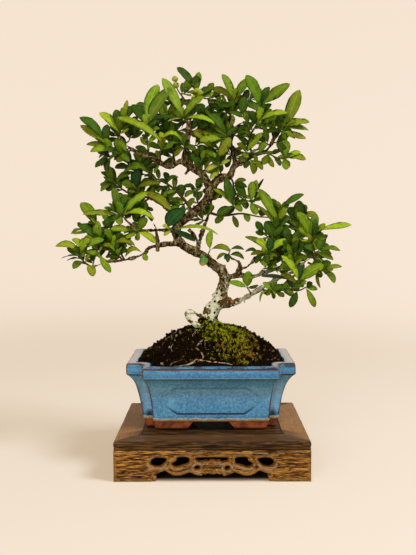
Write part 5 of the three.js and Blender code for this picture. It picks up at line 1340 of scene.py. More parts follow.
# Sprays: this year's shoots, green and then red-brown, with their leaves. A leaf is a leathery oblong
# blade with a rounded tip, folded up a little along a pale midrib, glossy above and dull below.
#
# Each spray has its shoots, measured as the branches are; then for a shoot how many more leaves grow
# round it and their length; then its leaves as shoot, place along it, turn, length, width, tone, lean,
# roll and arch. The last three may be left out.
SPRAYS = {
    "left_low_tip": ([
        [(-112, -31, 151), (-118, -32, 155), (-122, -34, 161), (-120, -35, 168)],
    ], [(0, 3, 15)], [
        (0, 0.75, 160, 24, 8.5, "l", 10, 0, 0.3), (0, 0.65, 185, 18, 7.5, "d", 0, 55),
        (0, 0.5, 185, 14, 5.5, "d", 0, 50), (0, 0.4, 210, 12, 7.5, "m", 10, 0, 0.15),
        (0, 0.8, 55, 18, 11, "l", 20), (0, 1, 135, 13, 6.5, "l", 0, 20, 0.2), (0, 0.2, 300, 13, 8, "l", 15),
        (0, 0.9, 25, 26, 8.5, "m", 20, 10),
    ]),
    "left_low_second": ([
        [(-98, -29, 156), (-103, -30, 160), (-107, -30, 166), (-107, -29, 178), (-107, -28, 189)],
    ], [(0, 4, 15)], [
        (0, 0.65, 85, 18, 8, "m", 10, 0, 0.08), (0, 0.65, 140, 22, 9.5, "d", 5, 0, 0.15),
        (0, 1, 125, 27, 11.5, "m", -8), (0, 1, 170, 12, 6.5, "d", 0, 40), (0, 0.25, 304, 20, 6.8, "m", 10),
        (0, 0.6, 140, 12, 8.5, "o", 20),
    ]),
    "left_low_third": ([[(-84, -26, 157), (-91, -25, 166), (-94, -23, 175)]], [(0, 4, 14)], [
        (0, 0.9, 115, 15, 8, "m", 15), (0, 0.95, 50, 13, 8, "d", 5), (0, 0.7, 165, 11, 6.5, "o", 20),
        (0, 0.85, 355, 21, 6.5, "o", 0, 10, 0.35), (0, 0.6, 355, 13, 5.5, "d", 0, 45, 0.15),
        (0, 0.25, 100, 7, 4.5, "l", 20),
    ]),
    "left_low_fourth": ([[(-61, -20, 167), (-65, -24, 163)]], [], [
        (0, 1, 190, 17, 8.5, "o", 10, 15, 0.4), (0, 1, 305, 8, 5.5, "l", 20, 20),
    ]),
    "left_middle_tip": ([[(-83, -22, 197), (-87, -23, 200), (-90, -24, 205)]], [(0, 3, 14)], [
        (0, 0.45, 180, 34, 8.5, "l", 17, 0, 0.08), (0, 1, 95, 20, 7.5, "m", 5, 0, 0.08),
        (0, 0.7, 60, 18, 9.5, "d", 5), (0, 0.2, 40, 34, 11, "l", 12, 0, 0.08),
        (0, 0.15, 355, 31, 7.5, "l", 10, 0, 0.25), (0, 0.25, 260, 9, 7, "m", 20, 0, 0.05),
        (0, 0.35, 210, 18, 8, "d", -10),
    ]),
    "left_middle_under": ([[(-67, -17, 185), (-72, -21, 183), (-78, -23, 183)]], [(0, 3, 13)], [
        (0, 0.85, 170, 19, 7.5, "l", 5), (0, 1, 180, 22, 7.5, "d", -10, 0, 0.2), (0, 0.25, 60, 15, 9, "m"),
        (0, 0.4, 330, 21, 7, "l", 10, 0, 0.12),
    ]),
    "left_back_tip": ([[(-85, 17, 223), (-91, 17, 227), (-99, 18, 232)]], [(0, 4, 15)], [
        (0, 1, 105, 18, 8, "m"), (0, 1, 135, 15, 6, "d", 10, 20, 0.15), (0, 0.9, 215, 15, 6.5, "o", 15),
        (0, 0.5, 40, 15, 11, "d", 10),
    ]),
    "left_back_rosette": ([[(-67, 11, 217), (-71, 5, 222), (-74, 1, 226)]], [(0, 3, 14)], [
        (0, 1, 80, 18, 11.5, "b", 15, 0, 0.05), (0, 0.95, 10, 25, 8, "o", 10, 0, 0.15),
        (0, 0.65, 330, 38, 9.5, "o", 12, 0, 0.08), (0, 1, 160, 14, 9, "m", 5), (0, 0.8, 220, 12, 7, "d", 10),
    ]),
    "left_slender": ([
        [(-20, -4, 204), (-28, 0, 215.5), (-41, 6, 228), (-58, 12, 236.5), (-74, 14, 242)],
    ], [(0, 5, 14)], [
        (0, 0.5, 30, 13, 6, "d", 10, 0, 0.3), (0, 0.4, 355, 12, 7, "d", 10, 0, 0.3),
        (0, 0.78, 172, 28, 12.5, "m", 10, 0, 0.42), (0, 0.8, 240, 12, 8, "b", 20), (0, 0.95, 160, 19, 8, "d"),
        (0, 1, 205, 22, 8.5, "m", 10),
    ]),
    "trunk_back_shoot": ([[(-12, 0, 207), (-15, 4, 215), (-16, 5, 225)]], [(0, 2, 11)], [
        (0, 1, 175, 13, 7, "d", 10, 0, 0.3), (0, 0.8, 200, 12, 6.5, "m", 10, 0, 0.3),
        (0, 1, 50, 13, 9, "d", 10),
    ]),
    "upper_left_tip": ([
        [(-75, -15, 261), (-81, -20, 257), (-89, -23, 257), (-96, -25, 262), (-100, -26, 267)],
    ], [(0, 5, 15)], [
        (0, 1, 135, 31, 9, "d", 5, 0, 0.2), (0, 0.95, 145, 27, 8, "o", 10),
        (0, 0.62, 167, 26, 7, "o", 14, 10, 0.08), (0, 0.5, 180, 25, 9, "l", 22, 0, 0.18),
        (0, 0.9, 85, 18, 8.5, "d"), (0, 0.5, 325, 15, 7.5, "m", 10),
    ]),
    "upper_left_second": ([[(-86, -18, 271), (-86, -21, 276), (-82, -21, 286)]], [(0, 4, 14)], [
        (0, 0.3, 135, 26, 11.5, "l", 10, 0, 0.06), (0, 0.45, 100, 20, 9.5, "d"), (0, 0.85, 55, 19, 9.5, "d"),
        (0, 1, 80, 20, 4.5, "o", 0, 50),
    ]),
    "upper_left_rosette": ([[(-60, -12, 254), (-60, -19, 264), (-61, -24, 282)]], [(0, 4, 14)], [
        (0, 1, 55, 41, 15, "g", 8, 0, 0.05), (0, 1, 75, 41, 13, "g", -12, 0, 0.12), (0, 1, 125, 23, 9, "d"),
        (0, 0.85, 155, 14, 7.5, "d", 5, 0, 0.12), (0, 0.8, 15, 13, 6.5, "m", 10, 0, 0.15),
    ]),
    "upper_left_long": ([[(-49, -10, 249), (-48, -23, 257), (-44, -31, 263)]], [(0, 2, 13)], [
        (0, 1, 150, 49, 8.5, "l", 6), (0, 0.75, 155, 13, 6.5, "d"), (0, 0.65, 35, 12, 7.5, "m"),
    ]),
    "upper_mid_arch": ([[(-25, -7, 259), (-26, -17, 263), (-28, -23, 267)]], [(0, 2, 12)], [
        (0, 1, 175, 20, 8.5, "l", 12, 0, 0.42), (0, 0.85, 190, 18, 5.5, "m", 5, 20),
        (0, 0.5, 225, 13, 7.5, "o", 10), (0, 0.6, 340, 12, 7.5, "d", 5),
    ]),
    "apex_rosette": ([[(-25, -15, 286), (-26, -20, 289)]], [(0, 2, 15)], [
        (0, 1, 119, 41, 11, "g", 8), (0, 1, 45, 27, 9.5, "l", 15), (0, 0.8, 190, 16, 5.5, "y", 10, 20),
        (0, 0.8, 180, 33, 8, "d", -10), (0, 0.75, 350, 29, 7, "l", 5, 0, 0.2), (0, 0.85, 0, 22, 5.5, "b", -8),
        (0, 0.75, 120, 14, 7.5, "m", -15),
    ]),
    "top": ([
        [(-22, -12, 282), (-18, -6, 297), (-14, -3, 310), (-15, -2, 318)],
        [(-18, -6, 297), (-27, -4, 310), (-33, -4, 319), (-34, -4, 327)],
    ], [(0, 4, 13)], [
        (0, 1, 130, 28, 8.5, "d", 0, 0, 0.08), (0, 1, 80, 17, 7, "m", 5, 0, 0.08),
        (0, 0.95, 90, 15, 9.5, "d", 10), (0, 0.8, 30, 19, 9, "d", 10, 0, 0.15),
        (0, 0.75, 15, 14, 7, "m", 10, 0, 0.2), (0, 0.5, 150, 13, 8, "d"), (0, 0.45, 25, 13, 8, "d"),
    ]),
    "back_leader_rosette": ([[(17, 11, 292), (19, 5, 300), (21, -1, 308)]], [(0, 4, 14)], [
        (0, 1, 115, 27, 9.5, "m", 8, 0, 0.12), (0, 1, 55, 25, 9.5, "m", 5, 0, 0.12),
        (0, 0.9, 150, 25, 8.5, "o", 8, 0, 0.15), (0, 0.8, 35, 14, 9, "d", 5),
        (0, 0.5, 180, 27, 8, "d", 0, 0, 0.15), (0, 0.75, 180, 11, 8, "d", 5),
    ]),
    "inner_right_upper": ([[(19, 7, 271), (15, -7, 273), (10, -16, 270)]], [(0, 3, 13)], [
        (0, 1, 185, 22, 9.5, "l", 8, 0, 0.12), (0, 0.6, 130, 28, 8.5, "d", 5),
        (0, 0.6, 145, 15, 7.5, "m", 10), (0, 0.75, 40, 14, 7.5, "d"),
    ]),
    "inner_right_lower": ([[(10, 1, 235), (7, -9, 243), (5, -15, 253)]], [(0, 3, 11)], [
        (0, 1, 55, 22, 11.5, "l", 12, 0, 0.06), (0, 0.9, 145, 15, 6.5, "m", 5),
        (0, 0.65, 200, 13, 6.5, "y", 10), (0, 0.65, 25, 12, 6.5, "y", 10), (0, 0.45, 220, 13, 6, "y", 15),
    ]),
    "top_right": ([
        [(38, 1, 257), (36, -7, 267), (35, -10, 279), (33, -11, 286), (28, -10, 293)],
        [(35, -9, 273), (41, -17, 282), (45, -20, 291), (45, -21, 300)],
    ], [(0, 3, 13), (1, 3, 13)], [
        (1, 0.95, 115, 32, 11, "m", 5), (1, 1, 35, 33, 14, "m", 10, 0, 0.08),
        (1, 0.85, 80, 16, 5, "b", 5, 50), (1, 1, 65, 20, 8.5, "d", -10), (1, 0.55, 70, 14, 8.5, "l", 20),
        (1, 0.45, 125, 16, 9, "b", 10), (1, 0.5, 15, 29, 7.5, "l", 15, 0, 0.2), (1, 0.65, 50, 17, 7.5, "d"),
        (0, 1, 80, 17, 9.5, "d", 5, 0, 0.08), (0, 0.9, 160, 15, 7.5, "d", 5), (0, 0.75, 215, 12, 7.5, "d", 5),
    ]),
    "right_tip": ([[(61, -8, 279), (65, -14, 279), (70, -18, 285)]], [(0, 3, 14)], [
        (0, 0.55, 66, 38, 14, "g", 10, 0, 0.08), (0, 0.6, 10, 25, 10.5, "l", 10, 0, 0.12),
        (0, 0.5, 355, 25, 9, "m", 5, 0, 0.15), (0, 0.45, 340, 25, 6, "y", 0, 40, 0.12),
        (0, 0.45, 325, 16, 7, "l", 10, 0, 0.15), (0, 0.35, 300, 12, 6, "m", 10),
        (0, 0.35, 190, 13, 7.5, "d", 5), (0, 0.8, 120, 14, 8, "d"),
    ]),
    "right_twig": ([
        [(19, 6, 266), (27, -3, 259), (43, -9, 257), (52, -12, 257), (60, -14, 253), (68, -16, 252)],
    ], [(0, 4, 12)], [
        (0, 1, 120, 16, 8.5, "d", 10), (0, 1, 85, 17, 7.5, "m"), (0, 1, 20, 16, 6.5, "l", 10, 0, 0.12),
        (0, 1, 355, 20, 7.5, "l", 10, 0, 0.15), (0, 1, 275, 12, 8.5, "m", 20, 0, 0.05),
        (0, 0.75, 240, 12, 7.5, "m", 10), (0, 0.7, 295, 15, 5, "o", 10, 50, 0.15),
        (0, 0.35, 135, 13, 7, "o", 10, 0, 0.15), (0, 0.35, 50, 24, 8, "l", 10, 0, 0.12),
        (0, 0.35, 65, 19, 7.5, "b", 0, 20), (0, 0.55, 60, 12, 7, "m", 20),
    ]),
    "right_hanging": ([[(36, 1, 254), (37, -7, 251)]], [], [
        (0, 1, 280, 14, 7.5, "o", 12), (0, 0.85, 320, 15, 8, "o", 10), (0, 1, 230, 10, 7, "d", 5),
    ]),
    "fork_twig": ([
        [(17, 2, 236), (20, 2, 231), (22, 3, 221), (28, 4, 216), (37, 3, 212)],
        [(22, 3, 220), (21, -5, 213), (20, -9, 207)],
    ], [(0, 3, 12)], [
        (1, 1, 105, 29, 10, "d", 5, 0, 0.06), (1, 1, 140, 26, 8, "o", 10, 0, 0.12),
        (1, 1, 210, 18, 9, "d", 10), (1, 0.95, 330, 10, 7, "m", 10), (0, 0.85, 125, 19, 9, "d", 5),
        (0, 1, 85, 20, 8.5, "l", 10, 0, 0.06), (0, 1, 74, 22, 7.5, "g"),
        (0, 1, 60, 26, 3.4, "b", 0, 60, -0.25), (0, 0.95, 200, 13, 7.5, "m", 10, 0, 0.15),
        (0, 1, 295, 14, 8, "l", 10, 0, 0.12), (0, 1, 292, 13, 6, "m", 8),
        (0, 1, 315, 36, 4, "l", 5, 30, 0.15), (0, 0.2, 345, 14, 5, "d", 10, 30, 0.3),
    ]),
    "middle_back_tip": ([
        [(-3, 14, 202), (10, 17, 199), (29, 15, 201), (45, 13, 198), (56, 11, 197)],
        [(-2, 15, 212), (2, 17, 219)],
    ], [(1, 3, 11)], [
        (0, 0.85, 85, 9, 8, "d", 15), (0, 0.25, 40, 14, 8, "d", 10), (0, 0.25, 220, 12, 8, "m", 10),
        (1, 0.55, 135, 13, 8, "d"), (1, 0.7, 40, 12, 8, "o"), (0, 0.55, 305, 10, 7, "m", 10),
        (0, 0.4, 292, 14, 5.5, "m", 5, 30, 0.2),
    ]),
    "trunk_front_leaf": ([[(-21, -7, 199), (-22, -16, 203), (-24, -19, 206)]], [], [
        (0, 0.9, 220, 26, 17, "b", 15, 0, 0.08), (0, 0.9, 55, 12, 6.5, "m", 10),
    ]),
    "trunk_bend_shoot": ([[(-34, -13, 182), (-36, -22, 184), (-39, -25, 185)]], [], [
        (0, 0.7, 355, 42, 5.5, "l", 5, 0, 0.25), (0, 0.9, 335, 25, 7.5, "b", 10, 0, 0.12),
        (0, 1, 150, 9, 5.5, "y", 10), (0, 0.9, 215, 9, 5, "y", 15),
    ]),
    "trunk_shoot": ([
        [(-3, -7, 157), (-4, -12, 161.5), (-2.2, -14, 166)],
        [(-6, -8, 158), (-8, -15, 161), (-8.6, -19, 162)],
    ], [], [
        (0, 1, 87, 19, 6.8, "l", 8, 0, 0.08), (0, 1, 357, 20, 6.5, "o", 8, 0, 0.22),
        (1, 1, 268, 11.5, 8.5, "f", 20, 0, 0.05),
    ]),
    "spur_rosette": ([[(19, 2, 157), (16, -4, 161), (16.5, -6, 165.5)]], [], [
        (0, 0.6, 200, 13, 4, "m", 10, 0, 0.35), (0, 0.75, 262, 9, 4.5, "d", 15, 20),
        (0, 0.55, 345, 15, 6.5, "d", 10, 0, 0.35), (0, 1, 2, 14, 4.5, "d", 5, 0, 0.25),
        (0, 0.75, 235, 7, 4.5, "d"),
    ]),
    "right_upper_rosette": ([[(45, 5, 161), (50, -3, 162), (54, -9, 163)]], [(0, 2, 12)], [
        (0, 1, 135, 19, 9, "l", 12, 0, 0.12), (0, 0.9, 145, 27, 7, "m", 0, 0, 0.15),
        (0, 1, 35, 22, 9, "l", 10), (0, 1, 85, 14, 7.5, "b", 5), (0, 0.75, 185, 15, 6, "o", 5, 0, 0.2),
        (0, 0.9, 260, 10, 6, "d", 10), (0, 0.45, 230, 12, 6, "d", 5), (0, 0, 168, 13.5, 5, "d", 5, 0, 0.35),
    ]),
    "right_mass_upper": ([
        [(70, 18, 150), (66.4, 11, 166), (63.4, 5, 178), (63.4, 1, 191), (67.4, 0, 207)],
        [(65.4, 7, 171), (57.4, -1, 178)],
    ], [(0, 6, 14)], [
        (0, 0.75, 120, 38, 10.5, "m", 5, 0, 0.15), (0, 1, 30, 24, 9, "d", 5, 0, 0.15),
        (1, 0.85, 115, 18, 14, "d", 8, 0, 0.06), (0, 0.65, 45, 17, 9, "d"), (0, 0.55, 10, 14, 8, "d", 5),
        (0, 0.7, 70, 17, 9, "d", -5), (1, 0.85, 45, 15, 8, "d", 5), (0, 0.3, 170, 12, 8, "d"),
        (0, 0.25, 15, 14, 8, "m", 5),
    ]),
    "right_mass_back": ([[(88, 16, 170), (85, 11, 181.5), (83, 7, 192.5)]], [(0, 4, 15)], [
        (0, 1, 85, 21, 12, "d", 5, 0, 0.08), (0, 0.85, 70, 21, 11, "d", -5), (0, 0.95, 120, 18, 10, "d", -10),
        (0, 0.65, 160, 11, 8, "d"), (0, 0.75, 30, 13, 8, "m"), (0, 0.4, 20, 13, 8, "d"),
    ]),
    "right_low_tip": ([
        [(93, -42, 159), (89.6, -35, 170.8), (88.6, -31, 178.8)],
        [(89.6, -36, 169.8), (92.6, -39, 177.8), (95.6, -42, 183.8)],
        [(90.6, -40, 162.8), (96.6, -46, 165.8)],
    ], [(0, 3, 14), (1, 2, 13)], [
        (0, 0.95, 115, 26, 9.5, "m", 8), (0, 1, 70, 22, 8.5, "m", 5, 0, 0.08),
        (1, 1, 10, 31, 7, "l", 5, 0, 0.08), (1, 0.9, 45, 11, 5.5, "l", 10),
        (0, 0.85, 5, 16, 7.5, "d", 5, 0, 0.3), (2, 1, 0, 19, 5.5, "m", 5, 0, 0.15),
        (2, 1, 345, 12, 3.5, "m", -5, 30, 0.15), (2, 0.6, 335, 17, 8, "m", 10),
        (1, 0.25, 175, 11, 3, "l", 20), (1, 0.65, 325, 12, 8.5, "d"), (2, 0.5, 150, 12, 8.5, "d", 5),
        (2, 0.9, 75, 11, 9, "d", -10),
    ]),
    "right_low_middle": ([[(73, -39, 145), (76, -32, 154), (76, -26, 165), (73, -23, 174)]], [(0, 6, 14)], [
        (0, 0.65, 50, 15, 8.5, "d", 5), (0, 0.45, 155, 12, 8.5, "d", 5, 0, 0.12),
        (0, 0.4, 20, 13, 8, "m", 8, 0, 0.12), (0, 0.65, 145, 13, 8, "d", 5), (0, 1, 115, 13, 8.5, "d"),
        (0, 0.9, 55, 16, 8.5, "d"), (0, 0.3, 340, 10, 7.5, "d", 10),
        (0, 0.35, 195, 13, 7.5, "m", 10, 0, 0.15),
    ]),
    "right_front_rosette": ([
        [(47, -29, 129), (55.6, -36, 128.6), (68.6, -43, 130.6), (74.6, -47, 133.6), (77.6, -51, 138.6)],
        [(70.6, -43, 130.6), (78.6, -43, 129.6), (85.6, -42, 132.6)],
    ], [(0, 3, 13)], [
        (0, 1, 125, 29, 8.5, "l", 10), (0, 1, 35, 27, 12.5, "l", 15, 0, 0.08),
        (0, 1, 85, 15, 8, "b", -5, 0, 0.08), (0, 0.95, 170, 34, 6, "b", 5, 35, 0.06),
        (0, 0.95, 155, 18, 7, "o", 10), (0, 0.8, 135, 10, 8, "b", 15),
        (1, 0.45, 245, 17, 7, "d", 10, 0, 0.15), (1, 0.95, 295, 20, 6, "l", 10, 0, 0.2),
        (1, 1, 35, 7, 6.5, "d", 10), (1, 0.95, 350, 11, 6, "m", 10),
    ]),
    "right_front_side": ([[(87, -41, 155), (93.7, -45, 152.2), (100.7, -48, 148.2)]], [(0, 3, 13)], [
        (0, 1, 310, 15, 8, "m", 10), (0, 0.95, 10, 17, 4.5, "l", 5, 20, 0.35),
        (0, 0.65, 275, 19, 3.5, "o", 5, 40), (0, 0.8, 30, 11, 7.5, "d"), (0, 0.45, 245, 11, 7.5, "d", 10),
    ]),
    "right_low_shoot": ([[(36, -21, 123), (35.3, -25, 126.5), (32.4, -27, 131)]], [], [
        (0, 1, 85, 16, 9.5, "m", 8, 0, 0.08), (0, 1, 162, 18, 6.2, "m", 8, 0, 0.14),
        (0, 1, 15, 11, 3.5, "d", 10, 60, 0.3),
    ]),
    "right_low_under": ([[(55, -33, 134), (54, -38, 129)]], [(0, 2, 11)], [
        (0, 1, 225, 15, 3.8, "l", 10, 45, 0.38), (0, 0.85, 15, 11, 7.5, "d", 10),
        (0, 0.85, 140, 11, 6.5, "m", 10),
    ]),
    "upper_left_mass": ([[(-35, -7, 247), (-38, 0, 261), (-42, 2, 275), (-44, 2, 289)]], [(0, 8, 15)], [
        (0, 0.35, 155, 13, 9, "d"), (0, 0.45, 45, 14, 9, "d"), (0, 0.65, 155, 14, 9, "d"),
        (0, 0.7, 45, 16, 9, "d"), (0, 0.95, 150, 15, 9, "d"), (0, 1, 50, 15, 9, "d"), (0, 1, 100, 18, 9, "m"),
    ]),
    "back_top": ([[(18, 8, 271), (7, 19, 283), (-5, 27, 293)]], [(0, 12, 19)], []),
    "back_left": ([[(-61, 9, 216), (-73, 21, 211), (-86, 29, 210)]], [(0, 12, 19)], []),
    "back_right": ([[(59, 17, 145), (63, 26, 158), (66, 32, 171)]], [(0, 12, 19)], []),
    "left_low_back": ([[(-82, -26, 157), (-90, -12, 168), (-97, -7, 178)]], [(0, 8, 16)], []),
}
THICK_SHOOTS = {"left_slender": 3.2, "right_twig": 2.8, "middle_back_tip": 2.8}
# Half widths at stations from the stalk to the tip, as parts of a leaf's width.
LEAF_ROWS = np.array([
    (0, 0.04), (0.09, 0.06), (0.20, 0.25), (0.36, 0.425), (0.54, 0.50), (0.71, 0.485), (0.85, 0.385),
    (0.95, 0.21), (1, 0.02),
])
LEAF_RING = np.array([(-1, 0), (-0.5, 1), (0, 1.0), (0.5, 1), (1, 0), (0, -1.5)])
LEAF_THICK = 0.16
# Leaf colours: light, grey, middle, dark, bluish, olive, yellow, and one faded at its tip. Each
# leaf's tone is partly its own green and partly painted light: dark for leaves in shade, light for lit ones.
TONES = {
    "l": (0.25, 0.345, 0.012, 0), "g": (0.185, 0.285, 0.020, 0), "m": (0.14, 0.24, 0.008, 0),
    "d": (0.050, 0.108, 0.005, 0), "b": (0.022, 0.068, 0.014, 0), "o": (0.19, 0.235, 0.008, 0),
    "y": (0.42, 0.48, 0.05, 0), "f": (0.10, 0.24, 0.04, 1),
}
LEAF_SHADES = {
    "low": (0.74, 0.80, 0.7), "high": (1.22, 1.15, 1.1), "vein": (2.3, 1.75, 2.6),
    "faded": (0.62, 0.30, 0.03), "under": (0.19, 0.28, 0.05),
}
MORE_LEAVES = 3.1
GOLDEN_ANGLE = 137.5
TO_FRONT, TO_BACK = -0.75, 0.6
SHOOT = {"thick": 2.0, "thin": 1.1, "sides": 6, "green": (0.10, 0.15, 0.025), "red": (0.070, 0.028, 0.012)}


def leaf_axes(turn, lean, roll, looks):
    """Unit vectors of each leaf across, along and up from its blade, from its three angles in degrees.

    The blade faces the direction `looks`, as nearly as its own direction lets it, before it is rolled.
    """
    a, b, c = np.radians([turn, lean, roll * 0.75])
    ahead = np.stack([np.cos(a) * np.cos(b), -np.sin(b), np.sin(a) * np.cos(b)], axis=-1)
    face = looks - ahead * np.sum(ahead * looks, axis=1)[:, None]
    face /= np.linalg.norm(face, axis=1)[:, None]
    face = face * np.cos(c)[:, None] + np.cross(ahead, face) * np.sin(c)[:, None]
    return np.cross(ahead, face), ahead, face


def leaf_blades(feet, turn, length, width, lean, roll, arch, looks, seed):
    """Blades as rings of points: half width follows LEAF_ROWS, folded by a quarter of the way out from
    the midrib, arched by a parabola, with a wavy margin and a slight twist of their own.
    """
    draw = np.random.default_rng(seed)
    n = len(feet)
    s, share = LEAF_ROWS.T[:, None, :, None]
    blunt = draw.uniform(-0.10, 0.10, (n, 1, 1))
    half = share * width[:, None, None] * (1 + blunt * np.cos(s * math.pi))
    u, up = LEAF_RING.T
    waves, phase = draw.uniform(9, 15, (n, 1, 1)), draw.uniform(0, 6, (n, 1, 1))
    wave = draw.uniform(0.02, 0.07, (n, 1, 1)) * np.sin(s * waves + phase)
    across = u * half
    size = length[:, None, None]
    fold = draw.uniform(0.10, 0.36, (n, 1, 1))
    rise = 4 * arch[:, None, None] * size * s * (1 - s) + fold * np.abs(across) + wave * half * 2 * u
    rise = rise + up * LEAF_THICK / 2 * np.minimum(half / 1.2, 1) * (1 - 0.4 * np.abs(u))
    twist = draw.uniform(-0.35, 0.35, (n, 1, 1)) * s
    bow = draw.uniform(-0.07, 0.07, (n, 1, 1)) * size * np.sin(s * math.pi)
    x = across * np.cos(twist) - rise * np.sin(twist) * 0.3 + bow
    z = rise + across * np.sin(twist)
    y = np.broadcast_to(s * size, x.shape)
    side, ahead, face = (axis[:, None, None] for axis in leaf_axes(turn, lean, roll, looks))
    return feet[:, None, None] + x[..., None] * side + y[..., None] * ahead + z[..., None] * face


def leaf_faces(count):
    """Faces of `count` blades: skin and a closed end at stalk and tip."""
    k, m = len(LEAF_ROWS), len(LEAF_RING)
    skin = grid_faces(k, m, around=True)
    shift = k * m * np.arange(count)[:, None, None]
    first = np.arange(m)[::-1][None, None] + shift
    last = np.arange((k - 1) * m, k * m)[None, None] + shift
    return [(skin[None] + shift).reshape(-1, 4), first.reshape(-1, m), last.reshape(-1, m)]


def shoot_path(points):
    """24 rows spaced evenly along the smooth curve through a shoot's places."""
    return along_path(curve(points, 6), 24, 3)


def leaf_table(spray, seed):
    """All leaves of a spray as rows of foot, angles and sizes, side they look to, and colour.

    The leaves that grow round the shoots follow each other by the golden angle, and look to the front, or
    behind the trunk mostly to the back. A shoot is bare at first, for the share its row may end with.
    """
    draw = np.random.default_rng(seed)
    twigs, more, leaves = spray
    paths = [shoot_path(points) for points in twigs]
    feet, numbers, colours = [], [], []

    def grow(shoot, at, turn, length, width, tone, lean=0, roll=0, arch=0.1):
        feet.append(paths[shoot][int(round(at * (len(paths[shoot]) - 1)))])
        numbers.append((turn, length, width, lean, roll, arch, TO_FRONT))
        colours.append(TONES[tone])

    for leaf in leaves:
        grow(*leaf)
    for shoot, count, long, *bare in more:
        path = paths[shoot]
        ahead = path[-1] - path[0]
        heading = math.degrees(math.atan2(ahead[2], ahead[0]))
        total = int(round(count * MORE_LEAVES))
        first = bare[0] if bare else 0.18
        for i in range(total):
            at = first + (1 - first) * (i + 0.5) / total
            around = i * GOLDEN_ANGLE + draw.uniform(-25, 25)
            spread = 66 - 30 * at + draw.uniform(-12, 12)
            length = long * draw.uniform(0.66, 1.12)
            feet.append(path[int(at * (len(path) - 1))])
            back = feet[-1][1] > 9 and draw.uniform() < 0.6
            numbers.append((
                heading + spread * math.cos(math.radians(around)), length,
                length * draw.uniform(0.42, 0.54), 0.8 * spread * math.sin(math.radians(around)),
                draw.uniform(-32, 32), draw.uniform(-0.02, 0.12), TO_BACK if back else TO_FRONT,
            ))
            # Mostly the dark tone: painted shade for the many leaves inside the crown.
            colours.append(TONES[draw.choice(list("mddddmlo"))])
    return np.array(feet), np.array(numbers).T, np.array(colours)


def leafy(place, value):
    """A leaf's own green, paler along its midrib and side veins, dull grey-green underneath."""
    own = value("own", out="Color")
    along, across = value("along"), value("across")
    spread = across.math("ABSOLUTE")
    midrib = spread.rise(0.15, 0.04)
    veins = (along * 62.0 - spread * 9.0).math("SINE").rise(0.72, 1.0)
    veins = veins * spread.rise(0.02, 0.2) * 0.28
    blotch = place.noise(230, 3, 0.6)
    colour = blotch.rise(0.3, 0.7).mix(own.tint(LEAF_SHADES["low"]), own.tint(LEAF_SHADES["high"]))
    colour = (midrib * 0.6 + veins * 0.5).mix(colour, own.tint(LEAF_SHADES["vein"]))
    faded = value("own", out="Alpha") * along.rise(0.66, 0.95)
    colour = faded.mix(colour, LEAF_SHADES["faded"])
    under = value("under")
    colour = (under * 0.5).mix(colour, LEAF_SHADES["under"])
    return {
        "Base Color": colour,
        "Roughness": 0.42 + under * 0.3 + blotch * 0.12,
        "height": (blotch * 0.4 - veins - midrib * 0.8, 0.0005),
    }


def shooty(place, value):
    """Red-brown at its foot and green towards its tip."""
    young = value("young") + (place.noise(300, 3) - 0.5) * 0.8
    colour = young.rise(0.25, 0.75).mix(SHOOT["red"], SHOOT["green"])
    return {"Base Color": colour, "Roughness": 0.55 - young * 0.1}


leaf_skin = surface("firethorn_leaf", leafy, Specular_IOR_Level=0.08)
shoot_skin = surface("young_shoot", shooty, Specular_IOR_Level=0.15)


def foliage(name, sprays, seed, thick):
    """One piece of leaves on their shoots; each point keeps its place on its leaf and the leaf's colour."""
    blades, tones, shoot_parts, youth = [], [], [], []
    for n, spray in enumerate(sprays):
        feet, (turn, length, width, lean, roll, arch, looks), colours = leaf_table(spray, seed + 7 * n)
        looks = np.column_stack([0 * looks, looks, np.full(len(looks), 0.66)])
        draw = np.random.default_rng(seed + 400 + n)
        blades.append(leaf_blades(feet, turn, length, width, lean, roll, arch, looks, seed + 800 + n))
        uneven = draw.uniform(0.72, 1.3, (len(feet), 1)) * draw.uniform(0.9, 1.1, (len(feet), 3))
        tones.append(np.column_stack([colours[:, :3] * uneven, colours[:, 3]]))
        for points in spray[0]:
            path = shoot_path(points)
            radius = np.linspace(thick, SHOOT["thin"], len(path)) / 2
            sides = SHOOT["sides"]
            shoot_parts.append((tubes(path, radius, sides), tube_faces(len(path), sides)))
            youth.append(np.repeat(np.linspace(0, 1, len(path)), sides))
    blades, tones = np.concatenate(blades), np.concatenate(tones)
    along = np.tile(np.repeat(LEAF_ROWS[:, 0], len(LEAF_RING)), len(tones))
    across = np.tile(LEAF_RING[:, 0], len(LEAF_ROWS) * len(tones))
    under = np.tile(LEAF_RING[:, 1] < 0, len(LEAF_ROWS) * len(tones)).astype(float)
    own = np.repeat(tones, len(LEAF_ROWS) * len(LEAF_RING), axis=0)
    leaf_part = (blades, leaf_faces(len(tones)))
    all_points, all_faces = joined([leaf_part, *shoot_parts])
    young = np.concatenate([np.zeros(len(along)), *youth])
    rest = np.zeros(len(all_points) - len(along))
    piece = build(
        name, all_points * MM + TREE_ORIGIN, all_faces, along=np.concatenate([along, rest]),
        across=np.concatenate([across, rest]), under=np.concatenate([under, rest]),
        own=np.vstack([own, np.ones((len(rest), 4))]), young=young,
    )
    piece.data.materials.append(leaf_skin)
    piece.data.materials.append(shoot_skin)
    slots = np.zeros(len(piece.data.polygons), dtype=np.int32)
    slots[sum(len(group) for group in leaf_part[1]):] = 1
    piece.data.polygons.foreach_set("material_index", slots)
    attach(piece, "root")
    return piece


for n, (name, spray) in enumerate(SPRAYS.items()):
    piece = foliage(f"leaves_{name}", [spray], 100 + n, THICK_SHOOTS.get(name, SHOOT["thick"]))
    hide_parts(f"spray_{name}")

